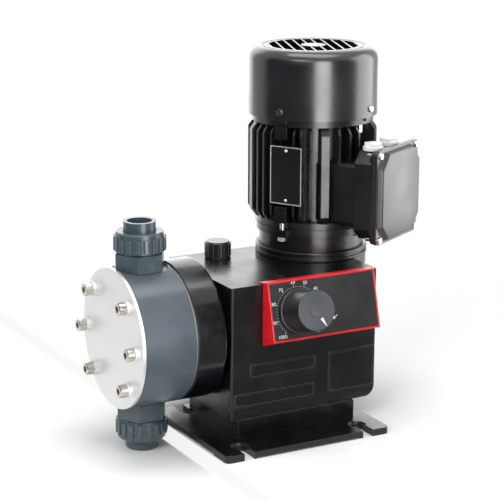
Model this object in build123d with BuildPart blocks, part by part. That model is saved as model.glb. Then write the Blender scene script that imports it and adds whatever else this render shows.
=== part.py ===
"""Diaphragm metering pump with a worm gear, a stroke knob and an upright flange motor.

The origin is the centre of the base plate's slot pattern, on the plane that the pads stand on.
+X runs from the dosing head to the motor, +Y to the back of the gear housing, +Z up. Millimetres.
"""
import os
from math import atan2, cos, degrees, pi, radians, sin, sqrt, tan

from build123d import *

os.makedirs("parts", exist_ok=True)

# Fits
THREAD_CLEARANCE = 0.05
RUNNING_CLEARANCE = 0.05
SEAT_CLEARANCE = 0.05
MOVING_GAP = 0.4

# Base plate
PLATE_LENGTH = 187.0
PLATE_WIDTH = 158.0
PLATE_THICKNESS = 5.4
PLATE_CORNER = 5.0
PAD_LENGTH = 36.0
PAD_WIDTH = 32.0
PAD_HEIGHT = 1.8
SLOT_SPACING_X = 136.0
SLOT_SPACING_Y = 116.0
SLOT_WIDTH = 11.5
SLOT_SEAT_DIAMETER = 18.0
SLOT_SEAT_DEPTH = 1.6
SLOT_ROOM = 1.5

# Gear housing
HOUSING_X = 20.0
HOUSING_Y = 36.6
HOUSING_LENGTH = 169.0
HOUSING_DEPTH = 140.0
HOUSING_HEIGHT = 136.7
HOUSING_WALL = 8.0
HOUSING_HEAD_WALL = 12.0
HOUSING_EDGE = 2.5
HOUSING_LOWER_CORNER = 12.0
FOOT_LENGTH = 135.0
FOOT_DEPTH = 108.0
FOOT_HEIGHT = 17.6
FOOT_X = 10.0
FOOT_Y = 18.4
FRAME_RAISE = 0.8
FRAME_BAND = 2.0
FRAME_CORNER = 3.0

# Dosing head, along X at the head axis
HEAD_HEIGHT = 106.0
HEAD_RADIUS = 71.3
HEAD_LENGTH = 55.2
HEAD_CHAMBER_RADIUS = 44.0
HEAD_CHAMBER_DEPTH = 13.0
COVER_PLATE_THICKNESS = 3.5
DIAPHRAGM_THICKNESS = 2.4
DIAPHRAGM_RADIUS = 68.0
DIAPHRAGM_ROLL_RADIUS = 5.0
FLANGE_LENGTH = 31.4
FLANGE_WALL = 11.4
FLANGE_CAVITY_RADIUS = 46.0
FLANGE_NECK_RADIUS = 54.0
FLANGE_NECK_LENGTH = 4.1
FLANGE_PILOT_RADIUS = 34.0
FLANGE_PILOT_LENGTH = 6.0
HEAD_SCREW_CIRCLE = 58.0
HEAD_SCREW_ANGLES = (0, 46, 134, 180, 226, 314)
HEAD_SCREW_RADIUS = 4.0
HEAD_SCREW_HEAD_RADIUS = 6.5
HEAD_SCREW_HEAD_HEIGHT = 8.0
HEAD_SCREW_HEX = 6.0
HEAD_SCREW_HOLD = 18.0
HEAD_WASHER_RADIUS = 7.8
HEAD_WASHER_THICKNESS = 1.6
HEAD_WASHER_COUNT = 3
FLANGE_SCREW_CIRCLE = 43.0
FLANGE_SCREW_ANGLES = (23, 157, 203, 337)
FLANGE_SCREW_HEAD_HEIGHT = 6.0

# Valves and unions, along Z through the head
PORT_RADIUS = 5.0
PORT_OFFSET = 30.0
PORT_OVERRUN = 1.0
CHAMBER_PORT_RADIUS = 4.5
VALVE_SEAT_LEVEL = 46.0
VALVE_THREAD_RADIUS = 17.0
VALVE_HEX = 46.0
VALVE_FACE_LEVEL = 68.0
VALVE_HEX_HEIGHT = 17.4
VALVE_COLLAR_RADIUS = 21.0
VALVE_COLLAR_HEIGHT = 6.0
VALVE_BORE_RADIUS = 9.0
VALVE_SEAT_THICKNESS = 5.0
BALL_RADIUS = 6.5
BALL_TRAVEL = 3.5
CAGE_LENGTH = 16.0
CAGE_RIB_COUNT = 4
SOCKET_RADIUS = 16.5
SOCKET_BORE_RADIUS = 12.55
SOCKET_DEPTH = 19.0
SOCKET_COLLAR_RADIUS = 20.5
SOCKET_LENGTH = 24.6
UNION_SEAL_THICKNESS = 1.0
NUT_RADIUS = 26.4
NUT_HEIGHT = 21.2
NUT_LIP = 4.0
NUT_SHOULDER = 5.0
NUT_RIB_COUNT = 18
NUT_RIB_DEPTH = 2.0

# Stroke drive inside the housing
STROKE = 6.0
TAPPET_RADIUS = 8.0
TAPPET_PLATE_RADIUS = 28.0
TAPPET_PLATE_THICKNESS = 6.0
TAPPET_COLLAR_RADIUS = 20.0
TAPPET_COLLAR_THICKNESS = 4.5
TAPPET_FOOT_RADIUS = 13.0
TAPPET_FOOT_THICKNESS = 6.0
CORE_RADIUS = 26.0
CORE_THICKNESS = 4.0
CORE_STUD_RADIUS = 6.0
CORE_STUD_LENGTH = 18.0
BUSH_WALL = 4.0
SPRING_RADIUS = 13.0
SPRING_WIRE = 3.0
SPRING_TURNS = 6
ECCENTRICITY = 3.0
ECCENTRIC_RADIUS = 12.0
ECCENTRIC_BEARING_RADIUS = 16.0
ECCENTRIC_WIDTH = 12.0

# Worm gear
GEAR_MODULE = 2.0
WHEEL_TEETH = 30
WHEEL_WIDTH = 14.0
WHEEL_HUB_RADIUS = 14.0
WHEEL_HUB_LENGTH = 20.0
WORM_PITCH_RADIUS = 11.0
WORM_LENGTH = 38.0
TOOTH_ANGLE = 20.0
TOOTH_PLAY = 0.8
TOOTH_ROOT_PLAY = 0.5
SHAFT_RADIUS = 8.0
SHAFT_END_RADIUS = 6.0
SHAFT_FRONT = 12.0
BEARING_RADIUS = 14.0
BEARING_WIDTH = 8.0
BEARING_SHOULDER = 0.3
BEARING_RACE = 2.4
BEARING_SHIELD_DEPTH = 0.6
WORM_TIP_ROOM = 1.5
WORM_BEARING_DROP = 8.0
BOSS_WALL = 4.0

# Rear cover
COVER_LENGTH = 124.0
COVER_HEIGHT = 95.0
COVER_THICKNESS = 6.0
COVER_CORNER = 10.0
COVER_RIM = 9.0
COVER_X = 16.0
COVER_BOTTOM = 40.0
COVER_GASKET = 0.5
COVER_SCREW_RADIUS = 2.5
COVER_SCREW_HEAD_RADIUS = 4.25
COVER_SCREW_HEAD_HEIGHT = 5.0
DRAIN_RADIUS = 7.0
DRAIN_HEX = 17.0
DRAIN_HEAD_HEIGHT = 8.0
DRAIN_Y = 8.0
DRAIN_LEVEL = 46.0

# Control panel and stroke knob
PANEL_X = 31.0
PANEL_LENGTH = 121.0
PANEL_TILT = 15.0
PANEL_TOP_RISE = 3.8
PANEL_TOP_DEPTH = 13.5
PANEL_SLOPE_HEIGHT = 56.8
PANEL_UNDER_DROP = 10.5
PANEL_LIP = 7.4
PANEL_WALL = 2.2
PANEL_CORNER = 1.2
FACE_THICKNESS = 2.5
FACE_RECESS = 0.5
KNOB_SHIFT_X = -29.6
KNOB_SHIFT_UP = -1.2
KNOB_RADIUS = 19.4
KNOB_SKIRT_RADIUS = 21.0
KNOB_SKIRT_HEIGHT = 5.0
KNOB_HEIGHT = 31.5
KNOB_WALL = 2.4
KNOB_FLUTES = 30
KNOB_CAP_RADIUS = 6.5
KNOB_CAP_HEIGHT = 1.2
SPINDLE_RADIUS = 6.0
SPINDLE_REACH = 77.0
SPINDLE_BUSH_RADIUS = 9.0
SPINDLE_BUSH_LENGTH = 16.0
CAM_RADIUS = 7.0
CAM_OFFSET = 2.5
CAM_THICKNESS = 6.0

# Oil cap
CAP_X = -16.5
CAP_Y = 86.5
CAP_RADIUS = 14.0
CAP_HEIGHT = 17.0
CAP_FLUTES = 16
CAP_STEM_RADIUS = 8.0
CAP_STEM_LENGTH = 12.0
CAP_SEAL_THICKNESS = 1.6
DIPSTICK_RADIUS = 1.6
DIPSTICK_LENGTH = 78.0

# Motor, upright on the housing
MOTOR_X = 85.5
MOTOR_Y = 67.3
MOTOR_TURN = 30.0
RING_RADIUS = 59.2
RING_HEIGHT = 10.0
RING_GROOVE_DEPTH = 1.8
RING_GROOVE_WIDTH = 3.0
RING_BORE_RADIUS = 20.0
RING_PILOT_RADIUS = 28.0
RING_PILOT_HEIGHT = 5.0
BOSS_TOP_HEIGHT = 11.5
BOSS_CONE_HEIGHT = 14.0
BOSS_ROOT_RADIUS = 36.0
BOSS_FLOOR = 5.0
BOSS_RING_STEP = 1.0
NECK_RADIUS = 55.4
NECK_HEIGHT = 15.8
SHIELD_RADIUS = 58.5
SHIELD_HEIGHT = 15.4
SHIELD_WALL = 5.0
MOTOR_BEARING_RADIUS = 17.5
MOTOR_BEARING_WIDTH = 11.0
MOTOR_SHAFT_RADIUS = 7.5
MOTOR_NOSE_RADIUS = 6.0
STATOR_HEIGHT = 100.5
STATOR_BORE_RADIUS = 46.0
STATOR_SHELL_RADIUS = 51.0
FIN_RADIUS = 67.2
FIN_THICKNESS = 2.2
FIN_STEP = 9.0
FIN_GAP_AT_LUG = 14.0
FIN_GAP_AT_BOX = 40.0
LUG_WIDTH = 14.0
LUG_RADIUS = 66.0
LUG_LOWER_HEIGHT = 17.0
LUG_UPPER_HEIGHT = 13.0
REAR_SHIELD_RADIUS = 64.0
REAR_SHIELD_HEIGHT = 7.3
REAR_SHIELD_PLATE = 4.0
COWL_RADIUS = 67.7
COWL_HEIGHT = 70.0
COWL_CORNER = 18.0
COWL_WALL = 1.6
COWL_OVERLAP = 0.4
GRILLE_RADIUS = 47.0
GRILLE_HUB_RADIUS = 12.0
GRILLE_SLOT_WIDTH = 4.6
GRILLE_SLOT_LENGTH = 19.0
GRILLE_BAR = 2.6
GRILLE_CROSS_BAR = 3.4
GRILLE_TURN = 35.0
FAN_RADIUS = 58.0
FAN_BLADES = 8
FAN_BLADE_THICKNESS = 2.0
FAN_HEIGHT = 22.0
FAN_DISC = 2.5
FAN_HUB_RADIUS = 14.0
FAN_LIFT = 16.0
ROTOR_RADIUS = 27.0
ROTOR_HEIGHT = 62.0
ROTOR_LIFT = 18.0
AIR_GAP = 0.5
WINDING_HEIGHT = 10.0
BOLT_CIRCLE = 61.0
REAR_BOLT_CIRCLE = 56.0
BOLT_RADIUS = 2.5
BOLT_HEX = 8.0
BOLT_HEAD_HEIGHT = 4.0
COWL_SCREW_LIFT = 8.5
COWL_SCREW_HEAD_RADIUS = 3.6
COWL_SCREW_HEAD_HEIGHT = 2.0
COWL_SCREW_RADIUS = 1.8
COWL_SCREW_LENGTH = 6.0
COWL_EAR_WIDTH = 11.0
COWL_EAR_DEPTH = 5.0
COWL_EAR_TOP = 5.0

# Terminal box, distances out from the motor axis
BOX_NECK_IN = 50.0
BOX_NECK_OUT = 73.0
BOX_NECK_WIDTH = 66.0
BOX_NECK_HEIGHT = 62.0
BOX_LENGTH = 21.0
BOX_WIDTH = 87.0
BOX_HEIGHT = 92.0
BOX_WALL = 3.0
BOX_CORNER = 6.0
BOX_MIDDLE = 235.5
BOX_GASKET = 1.0
LID_WIDTH = 92.0
LID_HEIGHT = 97.0
LID_THICKNESS = 5.4
LID_PLATEAU = 1.6
LID_PLATEAU_WIDTH = 76.0
LID_PLATEAU_HEIGHT = 80.0
LID_PLATEAU_CUT = 12.0
LID_SCREW_SPACING_Y = 80.0
LID_SCREW_SPACING_Z = 87.0
LID_SCREW_RADIUS = 2.0
LID_SCREW_HEAD_RADIUS = 3.6
LID_SCREW_HEAD_HEIGHT = 2.4
LID_SCREW_LENGTH = 14.0
PLUG_RADIUS = 10.4
PLUG_HEIGHT = 7.0
PLUG_THREAD_RADIUS = 4.0
PLUG_SHIFTS = (-23.0, 12.0)
PLUG_INSET = 10.5
BADGE_WIDTH = 36.0
BADGE_HEIGHT = 62.0
BADGE_THICKNESS = 0.8
BADGE_PAD_RADIUS = 63.0
TERMINAL_BLOCK_DEPTH = 5.0
TERMINAL_BLOCK_LENGTH = 44.0
TERMINAL_BLOCK_HEIGHT = 26.0

# Levels and stations worked out from the sizes above
plate_bottom = PAD_HEIGHT
plate_top = PAD_HEIGHT + PLATE_THICKNESS
housing_bottom = plate_top + FOOT_HEIGHT
housing_top = housing_bottom + HOUSING_HEIGHT
housing_left = HOUSING_X - HOUSING_LENGTH / 2
housing_right = HOUSING_X + HOUSING_LENGTH / 2
housing_front = HOUSING_Y - HOUSING_DEPTH / 2
housing_back = HOUSING_Y + HOUSING_DEPTH / 2
head_y = HOUSING_Y
flange_right = housing_left - FLANGE_NECK_LENGTH
flange_left = flange_right - FLANGE_LENGTH
head_right = flange_left - DIAPHRAGM_THICKNESS
head_left = head_right - HEAD_LENGTH
cover_left = head_left - COVER_PLATE_THICKNESS
valve_x = (head_left + head_right) / 2
worm_tip_radius = WORM_PITCH_RADIUS + GEAR_MODULE
worm_root_radius = WORM_PITCH_RADIUS - GEAR_MODULE - TOOTH_ROOT_PLAY
wheel_pitch_radius = GEAR_MODULE * WHEEL_TEETH / 2
wheel_tip_radius = wheel_pitch_radius + GEAR_MODULE
wheel_root_radius = wheel_pitch_radius - GEAR_MODULE - TOOTH_ROOT_PLAY
shaft_x = MOTOR_X - WORM_PITCH_RADIUS - wheel_pitch_radius
ring_top = housing_top + RING_HEIGHT
neck_top = ring_top + NECK_HEIGHT
shield_top = neck_top + SHIELD_HEIGHT
stator_top = shield_top + STATOR_HEIGHT
rear_shield_top = stator_top + REAR_SHIELD_HEIGHT
cowl_bottom = rear_shield_top - COWL_OVERLAP
cowl_top = cowl_bottom + COWL_HEIGHT
cowl_bore = COWL_RADIUS - COWL_WALL
badge_middle = (shield_top + LUG_LOWER_HEIGHT + stator_top - LUG_UPPER_HEIGHT) / 2


def head_plane(x):
    """Plane across the head axis at x, with its own X along +Y and its own Y up."""
    return Plane(origin=(x, head_y, HEAD_HEIGHT), x_dir=(0, 1, 0), z_dir=(1, 0, 0))


def valve_plane(level, side):
    """Plane across the valve axis, at a distance from the head axis, facing away from it."""
    return Plane(origin=(valve_x, head_y, HEAD_HEIGHT + side * level), x_dir=(1, 0, 0), z_dir=(0, 0, side))


def motor_plane(z):
    """Plane across the motor axis at z, with its own X towards the terminal box."""
    turn = radians(MOTOR_TURN)
    return Plane(origin=(MOTOR_X, MOTOR_Y, z), x_dir=(sin(turn), -cos(turn), 0), z_dir=(0, 0, 1))


def box_plane(out):
    """Plane facing out through the terminal box, at a distance from the motor axis, its own Y up."""
    turn = radians(MOTOR_TURN)
    outward = Vector(sin(turn), -cos(turn), 0)
    centre = Vector(MOTOR_X, MOTOR_Y, BOX_MIDDLE) + outward * out
    return Plane(origin=centre, x_dir=(cos(turn), sin(turn), 0), z_dir=outward)


def shaft_plane(y):
    """Plane across the eccentric shaft at y, facing the back."""
    return Plane(origin=(shaft_x, y, HEAD_HEIGHT), x_dir=(0, 0, 1), z_dir=(0, 1, 0))


def panel_plane(out):
    """Plane of the control panel's face, moved out along its normal."""
    tilt = radians(PANEL_TILT)
    front_top = housing_front - PANEL_TOP_DEPTH
    middle_y = front_top - PANEL_SLOPE_HEIGHT / 2 * tan(tilt)
    middle_z = housing_top + PANEL_TOP_RISE - PANEL_SLOPE_HEIGHT / 2
    normal = Vector(0, -cos(tilt), sin(tilt))
    return Plane(origin=Vector(PANEL_X, middle_y, middle_z) + normal * out, x_dir=(1, 0, 0), z_dir=normal)


def knob_plane(out):
    """Plane across the knob's axis, at a distance out from the panel's face."""
    face = panel_plane(out)
    centre = face.from_local_coords(Vector(KNOB_SHIFT_X, KNOB_SHIFT_UP, 0))
    return Plane(origin=centre, x_dir=(1, 0, 0), z_dir=face.z_dir)


def cap_plane(z):
    """Plane across the oil cap's axis at z."""
    return Plane(origin=(CAP_X, CAP_Y, z))


def cowl_side_plane(turn, out):
    """Plane facing out through the cowl's side at its screws' level, turned about the motor axis."""
    level = motor_plane(cowl_bottom + COWL_SCREW_LIFT)
    outward = level.x_dir.rotate(Axis.Z, turn)
    return Plane(origin=level.origin + outward * out, x_dir=(0, 0, 1), z_dir=outward)


def polar(radius, angle):
    """Point at a radius and an angle in degrees."""
    return (radius * cos(radians(angle)), radius * sin(radians(angle)))


def bearing(plane, outer, inner, width):
    """Sealed ball bearing on a plane: the two races stand proud of the shields between them."""
    with BuildPart() as races:
        with BuildSketch(plane):
            Circle(outer)
            Circle(inner, mode=Mode.SUBTRACT)
        extrude(amount=width)
        for level, depth in ((0, BEARING_SHIELD_DEPTH), (width, -BEARING_SHIELD_DEPTH)):
            with BuildSketch(plane.offset(level)):
                Circle(outer - BEARING_RACE)
                Circle(inner + BEARING_RACE, mode=Mode.SUBTRACT)
            extrude(amount=depth, mode=Mode.SUBTRACT)
    return races.part


# Base plate: four open slots with seats, and a pad under each corner
with BuildPart() as base_plate:
    with BuildSketch(Plane.XY.offset(plate_bottom)):
        RectangleRounded(PLATE_LENGTH, PLATE_WIDTH, PLATE_CORNER)
    extrude(amount=PLATE_THICKNESS)
    with BuildSketch(Plane.XY):
        with GridLocations(PLATE_LENGTH - PAD_LENGTH, PLATE_WIDTH - PAD_WIDTH, 2, 2):
            RectangleRounded(PAD_LENGTH, PAD_WIDTH, PLATE_CORNER)
    extrude(amount=PAD_HEIGHT)
    slot_run = (PLATE_WIDTH - SLOT_SPACING_Y) / 2
    with BuildSketch(Plane.XY.offset(plate_top)):
        with GridLocations(SLOT_SPACING_X, SLOT_SPACING_Y, 2, 2):
            Circle(SLOT_WIDTH / 2)
        with GridLocations(SLOT_SPACING_X, SLOT_SPACING_Y + 2 * slot_run, 2, 2):
            Rectangle(SLOT_WIDTH, 2 * slot_run)
    extrude(amount=-plate_top, mode=Mode.SUBTRACT)
    with BuildSketch(Plane.XY.offset(plate_top)):
        with GridLocations(SLOT_SPACING_X, SLOT_SPACING_Y, 2, 2):
            Circle(SLOT_SEAT_DIAMETER / 2)
    extrude(amount=-SLOT_SEAT_DEPTH, mode=Mode.SUBTRACT)
base_plate.part.label = "base_plate"
export_step(base_plate.part, "parts/base_plate.step")

# Gear housing: cast box on a narrower foot, open at the back, with the motor's boss and inner bearing bosses
rear_bearing_y = housing_back - BEARING_WIDTH - BOSS_WALL
front_bearing_y = SHAFT_FRONT
worm_middle = HEAD_HEIGHT
worm_bearing_z = worm_middle - WORM_LENGTH / 2 - WORM_BEARING_DROP - BEARING_WIDTH
cover_middle = COVER_BOTTOM + COVER_HEIGHT / 2
cover_screw_places = [
    (COVER_X + sx * (COVER_LENGTH / 2 - COVER_RIM / 2), cover_middle + sz * (COVER_HEIGHT / 2 - COVER_RIM / 2))
    for sx in (-1, 1)
    for sz in (-1, 0, 1)
]
boss_radius = BEARING_RADIUS + BOSS_WALL
drain_plane = Plane(origin=(housing_right, DRAIN_Y, DRAIN_LEVEL), x_dir=(0, 1, 0), z_dir=(1, 0, 0))
housing_front_frames = (
    (-43.3, 32.0, 65.7, 80.0),
    (-61.3, 31.2, 36.3, 50.8),
    (47.5, 102.3, 36.8, 80.6),
)
foot_notch = SLOT_SEAT_DIAMETER / 2 + SLOT_ROOM
with BuildPart() as gear_housing:
    with BuildSketch(Plane.XY.offset(plate_top)):
        with Locations((FOOT_X, FOOT_Y)):
            Rectangle(FOOT_LENGTH, FOOT_DEPTH)
        with Locations((SLOT_SPACING_X / 2 - foot_notch, SLOT_SPACING_Y / 2 - foot_notch)):
            Rectangle(PLATE_LENGTH, PLATE_WIDTH, align=(Align.MIN, Align.MIN), mode=Mode.SUBTRACT)
    extrude(amount=FOOT_HEIGHT)
    with BuildSketch(Plane.XZ.offset(-housing_back)):
        with BuildLine():
            Polyline(
                (housing_left, housing_bottom),
                (housing_left, housing_top),
                (housing_right, housing_top),
                (housing_right, housing_bottom),
                close=True,
            )
        make_face()
        fillet(vertices().sort_by(Axis.X)[-2:].sort_by(Axis.Y)[0], HOUSING_LOWER_CORNER)
    extrude(amount=HOUSING_DEPTH)
    fillet(edges().filter_by(Axis.Z).filter_by_position(Axis.Z, housing_bottom + 1, housing_top), HOUSING_EDGE)
    with BuildSketch(Plane.XY.offset(housing_top)):
        with Locations((MOTOR_X, MOTOR_Y)):
            Circle(RING_RADIUS - BOSS_RING_STEP)
    extrude(amount=-BOSS_TOP_HEIGHT)
    with BuildSketch(Plane.XY.offset(housing_top - BOSS_TOP_HEIGHT)):
        with Locations((MOTOR_X, MOTOR_Y)):
            Circle(RING_RADIUS - BOSS_RING_STEP)
    with BuildSketch(Plane.XY.offset(housing_top - BOSS_TOP_HEIGHT - BOSS_CONE_HEIGHT)):
        with Locations((MOTOR_X, MOTOR_Y)):
            Circle(BOSS_ROOT_RADIUS)
    loft()
    with BuildSketch(Plane.XZ.offset(-housing_front)):
        for left, right, low, high in housing_front_frames:
            with Locations(((left + right) / 2, (low + high) / 2)):
                RectangleRounded(right - left, high - low, FRAME_CORNER)
                RectangleRounded(
                    right - left - 2 * FRAME_BAND,
                    high - low - 2 * FRAME_BAND,
                    FRAME_CORNER - FRAME_BAND / 2,
                    mode=Mode.SUBTRACT,
                )
    extrude(amount=FRAME_RAISE)
    cavity_length = HOUSING_LENGTH - HOUSING_HEAD_WALL - HOUSING_WALL
    cavity_x = housing_left + HOUSING_HEAD_WALL + cavity_length / 2
    cavity_bottom = housing_bottom + HOUSING_WALL
    cavity_height = housing_top - HOUSING_WALL - cavity_bottom
    with BuildSketch(Plane.XZ.offset(-(housing_front + HOUSING_WALL))):
        with Locations((cavity_x, cavity_bottom + cavity_height / 2)):
            RectangleRounded(cavity_length, cavity_height, 4.0)
    extrude(amount=-(HOUSING_DEPTH - 2 * HOUSING_WALL), mode=Mode.SUBTRACT)
    with BuildSketch(Plane.XZ.offset(-housing_back)):
        with Locations((COVER_X, cover_middle)):
            RectangleRounded(COVER_LENGTH - 2 * COVER_RIM, COVER_HEIGHT - 2 * COVER_RIM, COVER_CORNER / 2)
    extrude(amount=HOUSING_WALL, mode=Mode.SUBTRACT)
    with BuildSketch(shaft_plane(housing_front + HOUSING_WALL / 2)):
        Circle(boss_radius)
    extrude(amount=front_bearing_y + BEARING_WIDTH - housing_front - HOUSING_WALL / 2)
    with BuildSketch(shaft_plane(front_bearing_y)):
        Circle(BEARING_RADIUS + SEAT_CLEARANCE)
    extrude(amount=BEARING_WIDTH, mode=Mode.SUBTRACT)
    with BuildSketch(shaft_plane(front_bearing_y)):
        Circle(SHAFT_END_RADIUS + 1.0)
    extrude(amount=-BOSS_WALL, mode=Mode.SUBTRACT)
    with BuildSketch(motor_plane(housing_bottom + HOUSING_WALL / 2)):
        Circle(boss_radius)
    extrude(amount=worm_bearing_z + BEARING_WIDTH - housing_bottom - HOUSING_WALL / 2)
    with BuildSketch(motor_plane(worm_bearing_z)):
        Circle(BEARING_RADIUS + SEAT_CLEARANCE)
    extrude(amount=BEARING_WIDTH, mode=Mode.SUBTRACT)
    with BuildSketch(motor_plane(worm_bearing_z)):
        Circle(SHAFT_END_RADIUS + 1.0)
    extrude(amount=-BOSS_WALL, mode=Mode.SUBTRACT)
    with BuildSketch(motor_plane(housing_top)):
        Circle(RING_PILOT_RADIUS + SEAT_CLEARANCE)
    extrude(amount=BOSS_FLOOR - BOSS_TOP_HEIGHT - BOSS_CONE_HEIGHT, mode=Mode.SUBTRACT)
    with BuildSketch(motor_plane(worm_bearing_z + BEARING_WIDTH)):
        Circle(worm_tip_radius + WORM_TIP_ROOM)
    extrude(amount=housing_top - worm_bearing_z - BEARING_WIDTH, mode=Mode.SUBTRACT)
    with BuildSketch(head_plane(housing_left)):
        Circle(FLANGE_PILOT_RADIUS + SEAT_CLEARANCE)
        for angle in FLANGE_SCREW_ANGLES:
            with Locations(polar(FLANGE_SCREW_CIRCLE, angle)):
                Circle(HEAD_SCREW_RADIUS + THREAD_CLEARANCE)
    extrude(amount=HOUSING_HEAD_WALL, mode=Mode.SUBTRACT)
    with BuildSketch(knob_plane(0)):
        Circle(SPINDLE_BUSH_RADIUS + SEAT_CLEARANCE)
    extrude(amount=-45.0, mode=Mode.SUBTRACT)
    with BuildSketch(cap_plane(housing_top)):
        Circle(CAP_STEM_RADIUS + RUNNING_CLEARANCE)
    extrude(amount=-HOUSING_WALL, mode=Mode.SUBTRACT)
    with BuildSketch(drain_plane):
        Circle(DRAIN_RADIUS + THREAD_CLEARANCE)
    extrude(amount=-HOUSING_WALL, mode=Mode.SUBTRACT)
    with BuildSketch(Plane.XZ.offset(-housing_back)):
        with Locations(*cover_screw_places):
            Circle(COVER_SCREW_RADIUS + THREAD_CLEARANCE)
    extrude(amount=HOUSING_WALL, mode=Mode.SUBTRACT)
gear_housing.part.label = "gear_housing"
export_step(gear_housing.part, "parts/gear_housing.step")

# Rear cover with the rear shaft bearing's boss, its gasket and screws, and the drain plug
with BuildPart() as rear_gasket:
    with BuildSketch(Plane.XZ.offset(-housing_back)):
        with Locations((COVER_X, cover_middle)):
            RectangleRounded(COVER_LENGTH, COVER_HEIGHT, COVER_CORNER)
            RectangleRounded(
                COVER_LENGTH - 2 * COVER_RIM,
                COVER_HEIGHT - 2 * COVER_RIM,
                COVER_CORNER / 2,
                mode=Mode.SUBTRACT,
            )
        with Locations(*cover_screw_places):
            Circle(COVER_SCREW_RADIUS + THREAD_CLEARANCE, mode=Mode.SUBTRACT)
    extrude(amount=-COVER_GASKET)
rear_gasket.part.label = "rear_gasket"
export_step(rear_gasket.part, "parts/rear_gasket.step")

cover_back = housing_back + COVER_GASKET + COVER_THICKNESS
with BuildPart() as rear_cover:
    with BuildSketch(Plane.XZ.offset(-housing_back - COVER_GASKET)):
        with Locations((COVER_X, cover_middle)):
            RectangleRounded(COVER_LENGTH, COVER_HEIGHT, COVER_CORNER)
    extrude(amount=-COVER_THICKNESS)
    fillet(faces().sort_by(Axis.Y)[-1].edges(), 1.5)
    with BuildSketch(shaft_plane(housing_back + COVER_GASKET)):
        Circle(boss_radius - 0.5)
    extrude(amount=rear_bearing_y - housing_back - COVER_GASKET)
    with BuildSketch(shaft_plane(rear_bearing_y)):
        Circle(BEARING_RADIUS + SEAT_CLEARANCE)
    extrude(amount=BEARING_WIDTH, mode=Mode.SUBTRACT)
    with BuildSketch(shaft_plane(rear_bearing_y)):
        Circle(SHAFT_END_RADIUS + 1.0)
    extrude(amount=BEARING_WIDTH + 2.0, mode=Mode.SUBTRACT)
    with BuildSketch(Plane.XZ.offset(-housing_back - COVER_GASKET)):
        with Locations(*cover_screw_places):
            Circle(COVER_SCREW_RADIUS + THREAD_CLEARANCE)
    extrude(amount=-COVER_THICKNESS, mode=Mode.SUBTRACT)
rear_cover.part.label = "rear_cover"
export_step(rear_cover.part, "parts/rear_cover.step")

with BuildPart() as rear_cover_screws:
    with BuildSketch(Plane.XZ.offset(-cover_back)):
        with Locations(*cover_screw_places):
            Circle(COVER_SCREW_HEAD_RADIUS)
    extrude(amount=-COVER_SCREW_HEAD_HEIGHT)
    with BuildSketch(Plane.XZ.offset(-cover_back - COVER_SCREW_HEAD_HEIGHT)):
        with Locations(*cover_screw_places):
            RegularPolygon(COVER_SCREW_RADIUS, 6)
    extrude(amount=COVER_SCREW_HEAD_HEIGHT / 2, mode=Mode.SUBTRACT)
    with BuildSketch(Plane.XZ.offset(-cover_back)):
        with Locations(*cover_screw_places):
            Circle(COVER_SCREW_RADIUS)
    extrude(amount=COVER_THICKNESS + COVER_GASKET)
rear_cover_screws.part.label = "rear_cover_screws"
export_step(rear_cover_screws.part, "parts/rear_cover_screws.step")

# Pump flange between the housing and the diaphragm
spring_left = housing_left + FLANGE_PILOT_LENGTH
flange_floor = flange_right - FLANGE_WALL
head_screw_places = [polar(HEAD_SCREW_CIRCLE, angle) for angle in HEAD_SCREW_ANGLES]
flange_screw_places = [polar(FLANGE_SCREW_CIRCLE, angle) for angle in FLANGE_SCREW_ANGLES]
bush_radius = TAPPET_RADIUS + RUNNING_CLEARANCE + BUSH_WALL
with BuildPart() as pump_flange:
    with BuildSketch(head_plane(flange_left)):
        Circle(HEAD_RADIUS)
    extrude(amount=FLANGE_LENGTH)
    fillet(edges().sort_by(Axis.X)[-1], 3.0)
    with BuildSketch(head_plane(flange_right)):
        Circle(FLANGE_NECK_RADIUS)
    extrude(amount=FLANGE_NECK_LENGTH)
    with BuildSketch(head_plane(housing_left)):
        Circle(FLANGE_PILOT_RADIUS)
    extrude(amount=FLANGE_PILOT_LENGTH)
    with BuildSketch(head_plane(flange_left)):
        Circle(FLANGE_CAVITY_RADIUS)
        with Locations(*flange_screw_places):
            Circle(HEAD_SCREW_HEAD_RADIUS + 0.5)
    extrude(amount=flange_floor - flange_left, mode=Mode.SUBTRACT)
    with BuildSketch(head_plane(flange_floor)):
        Circle(bush_radius + SEAT_CLEARANCE)
        with Locations(*flange_screw_places):
            Circle(HEAD_SCREW_RADIUS + THREAD_CLEARANCE)
    extrude(amount=spring_left - flange_floor, mode=Mode.SUBTRACT)
    with BuildSketch(head_plane(flange_left)):
        with Locations(*head_screw_places):
            Circle(HEAD_SCREW_RADIUS + THREAD_CLEARANCE)
    extrude(amount=HEAD_SCREW_HOLD, mode=Mode.SUBTRACT)
    with BuildSketch(Plane.XY.offset(HEAD_HEIGHT - HEAD_RADIUS)):
        with Locations(((flange_left + flange_floor) / 2, head_y)):
            Circle(3.0)
    extrude(amount=HEAD_RADIUS - FLANGE_CAVITY_RADIUS + 2.0, mode=Mode.SUBTRACT)
pump_flange.part.label = "pump_flange"
export_step(pump_flange.part, "parts/pump_flange.step")

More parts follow.
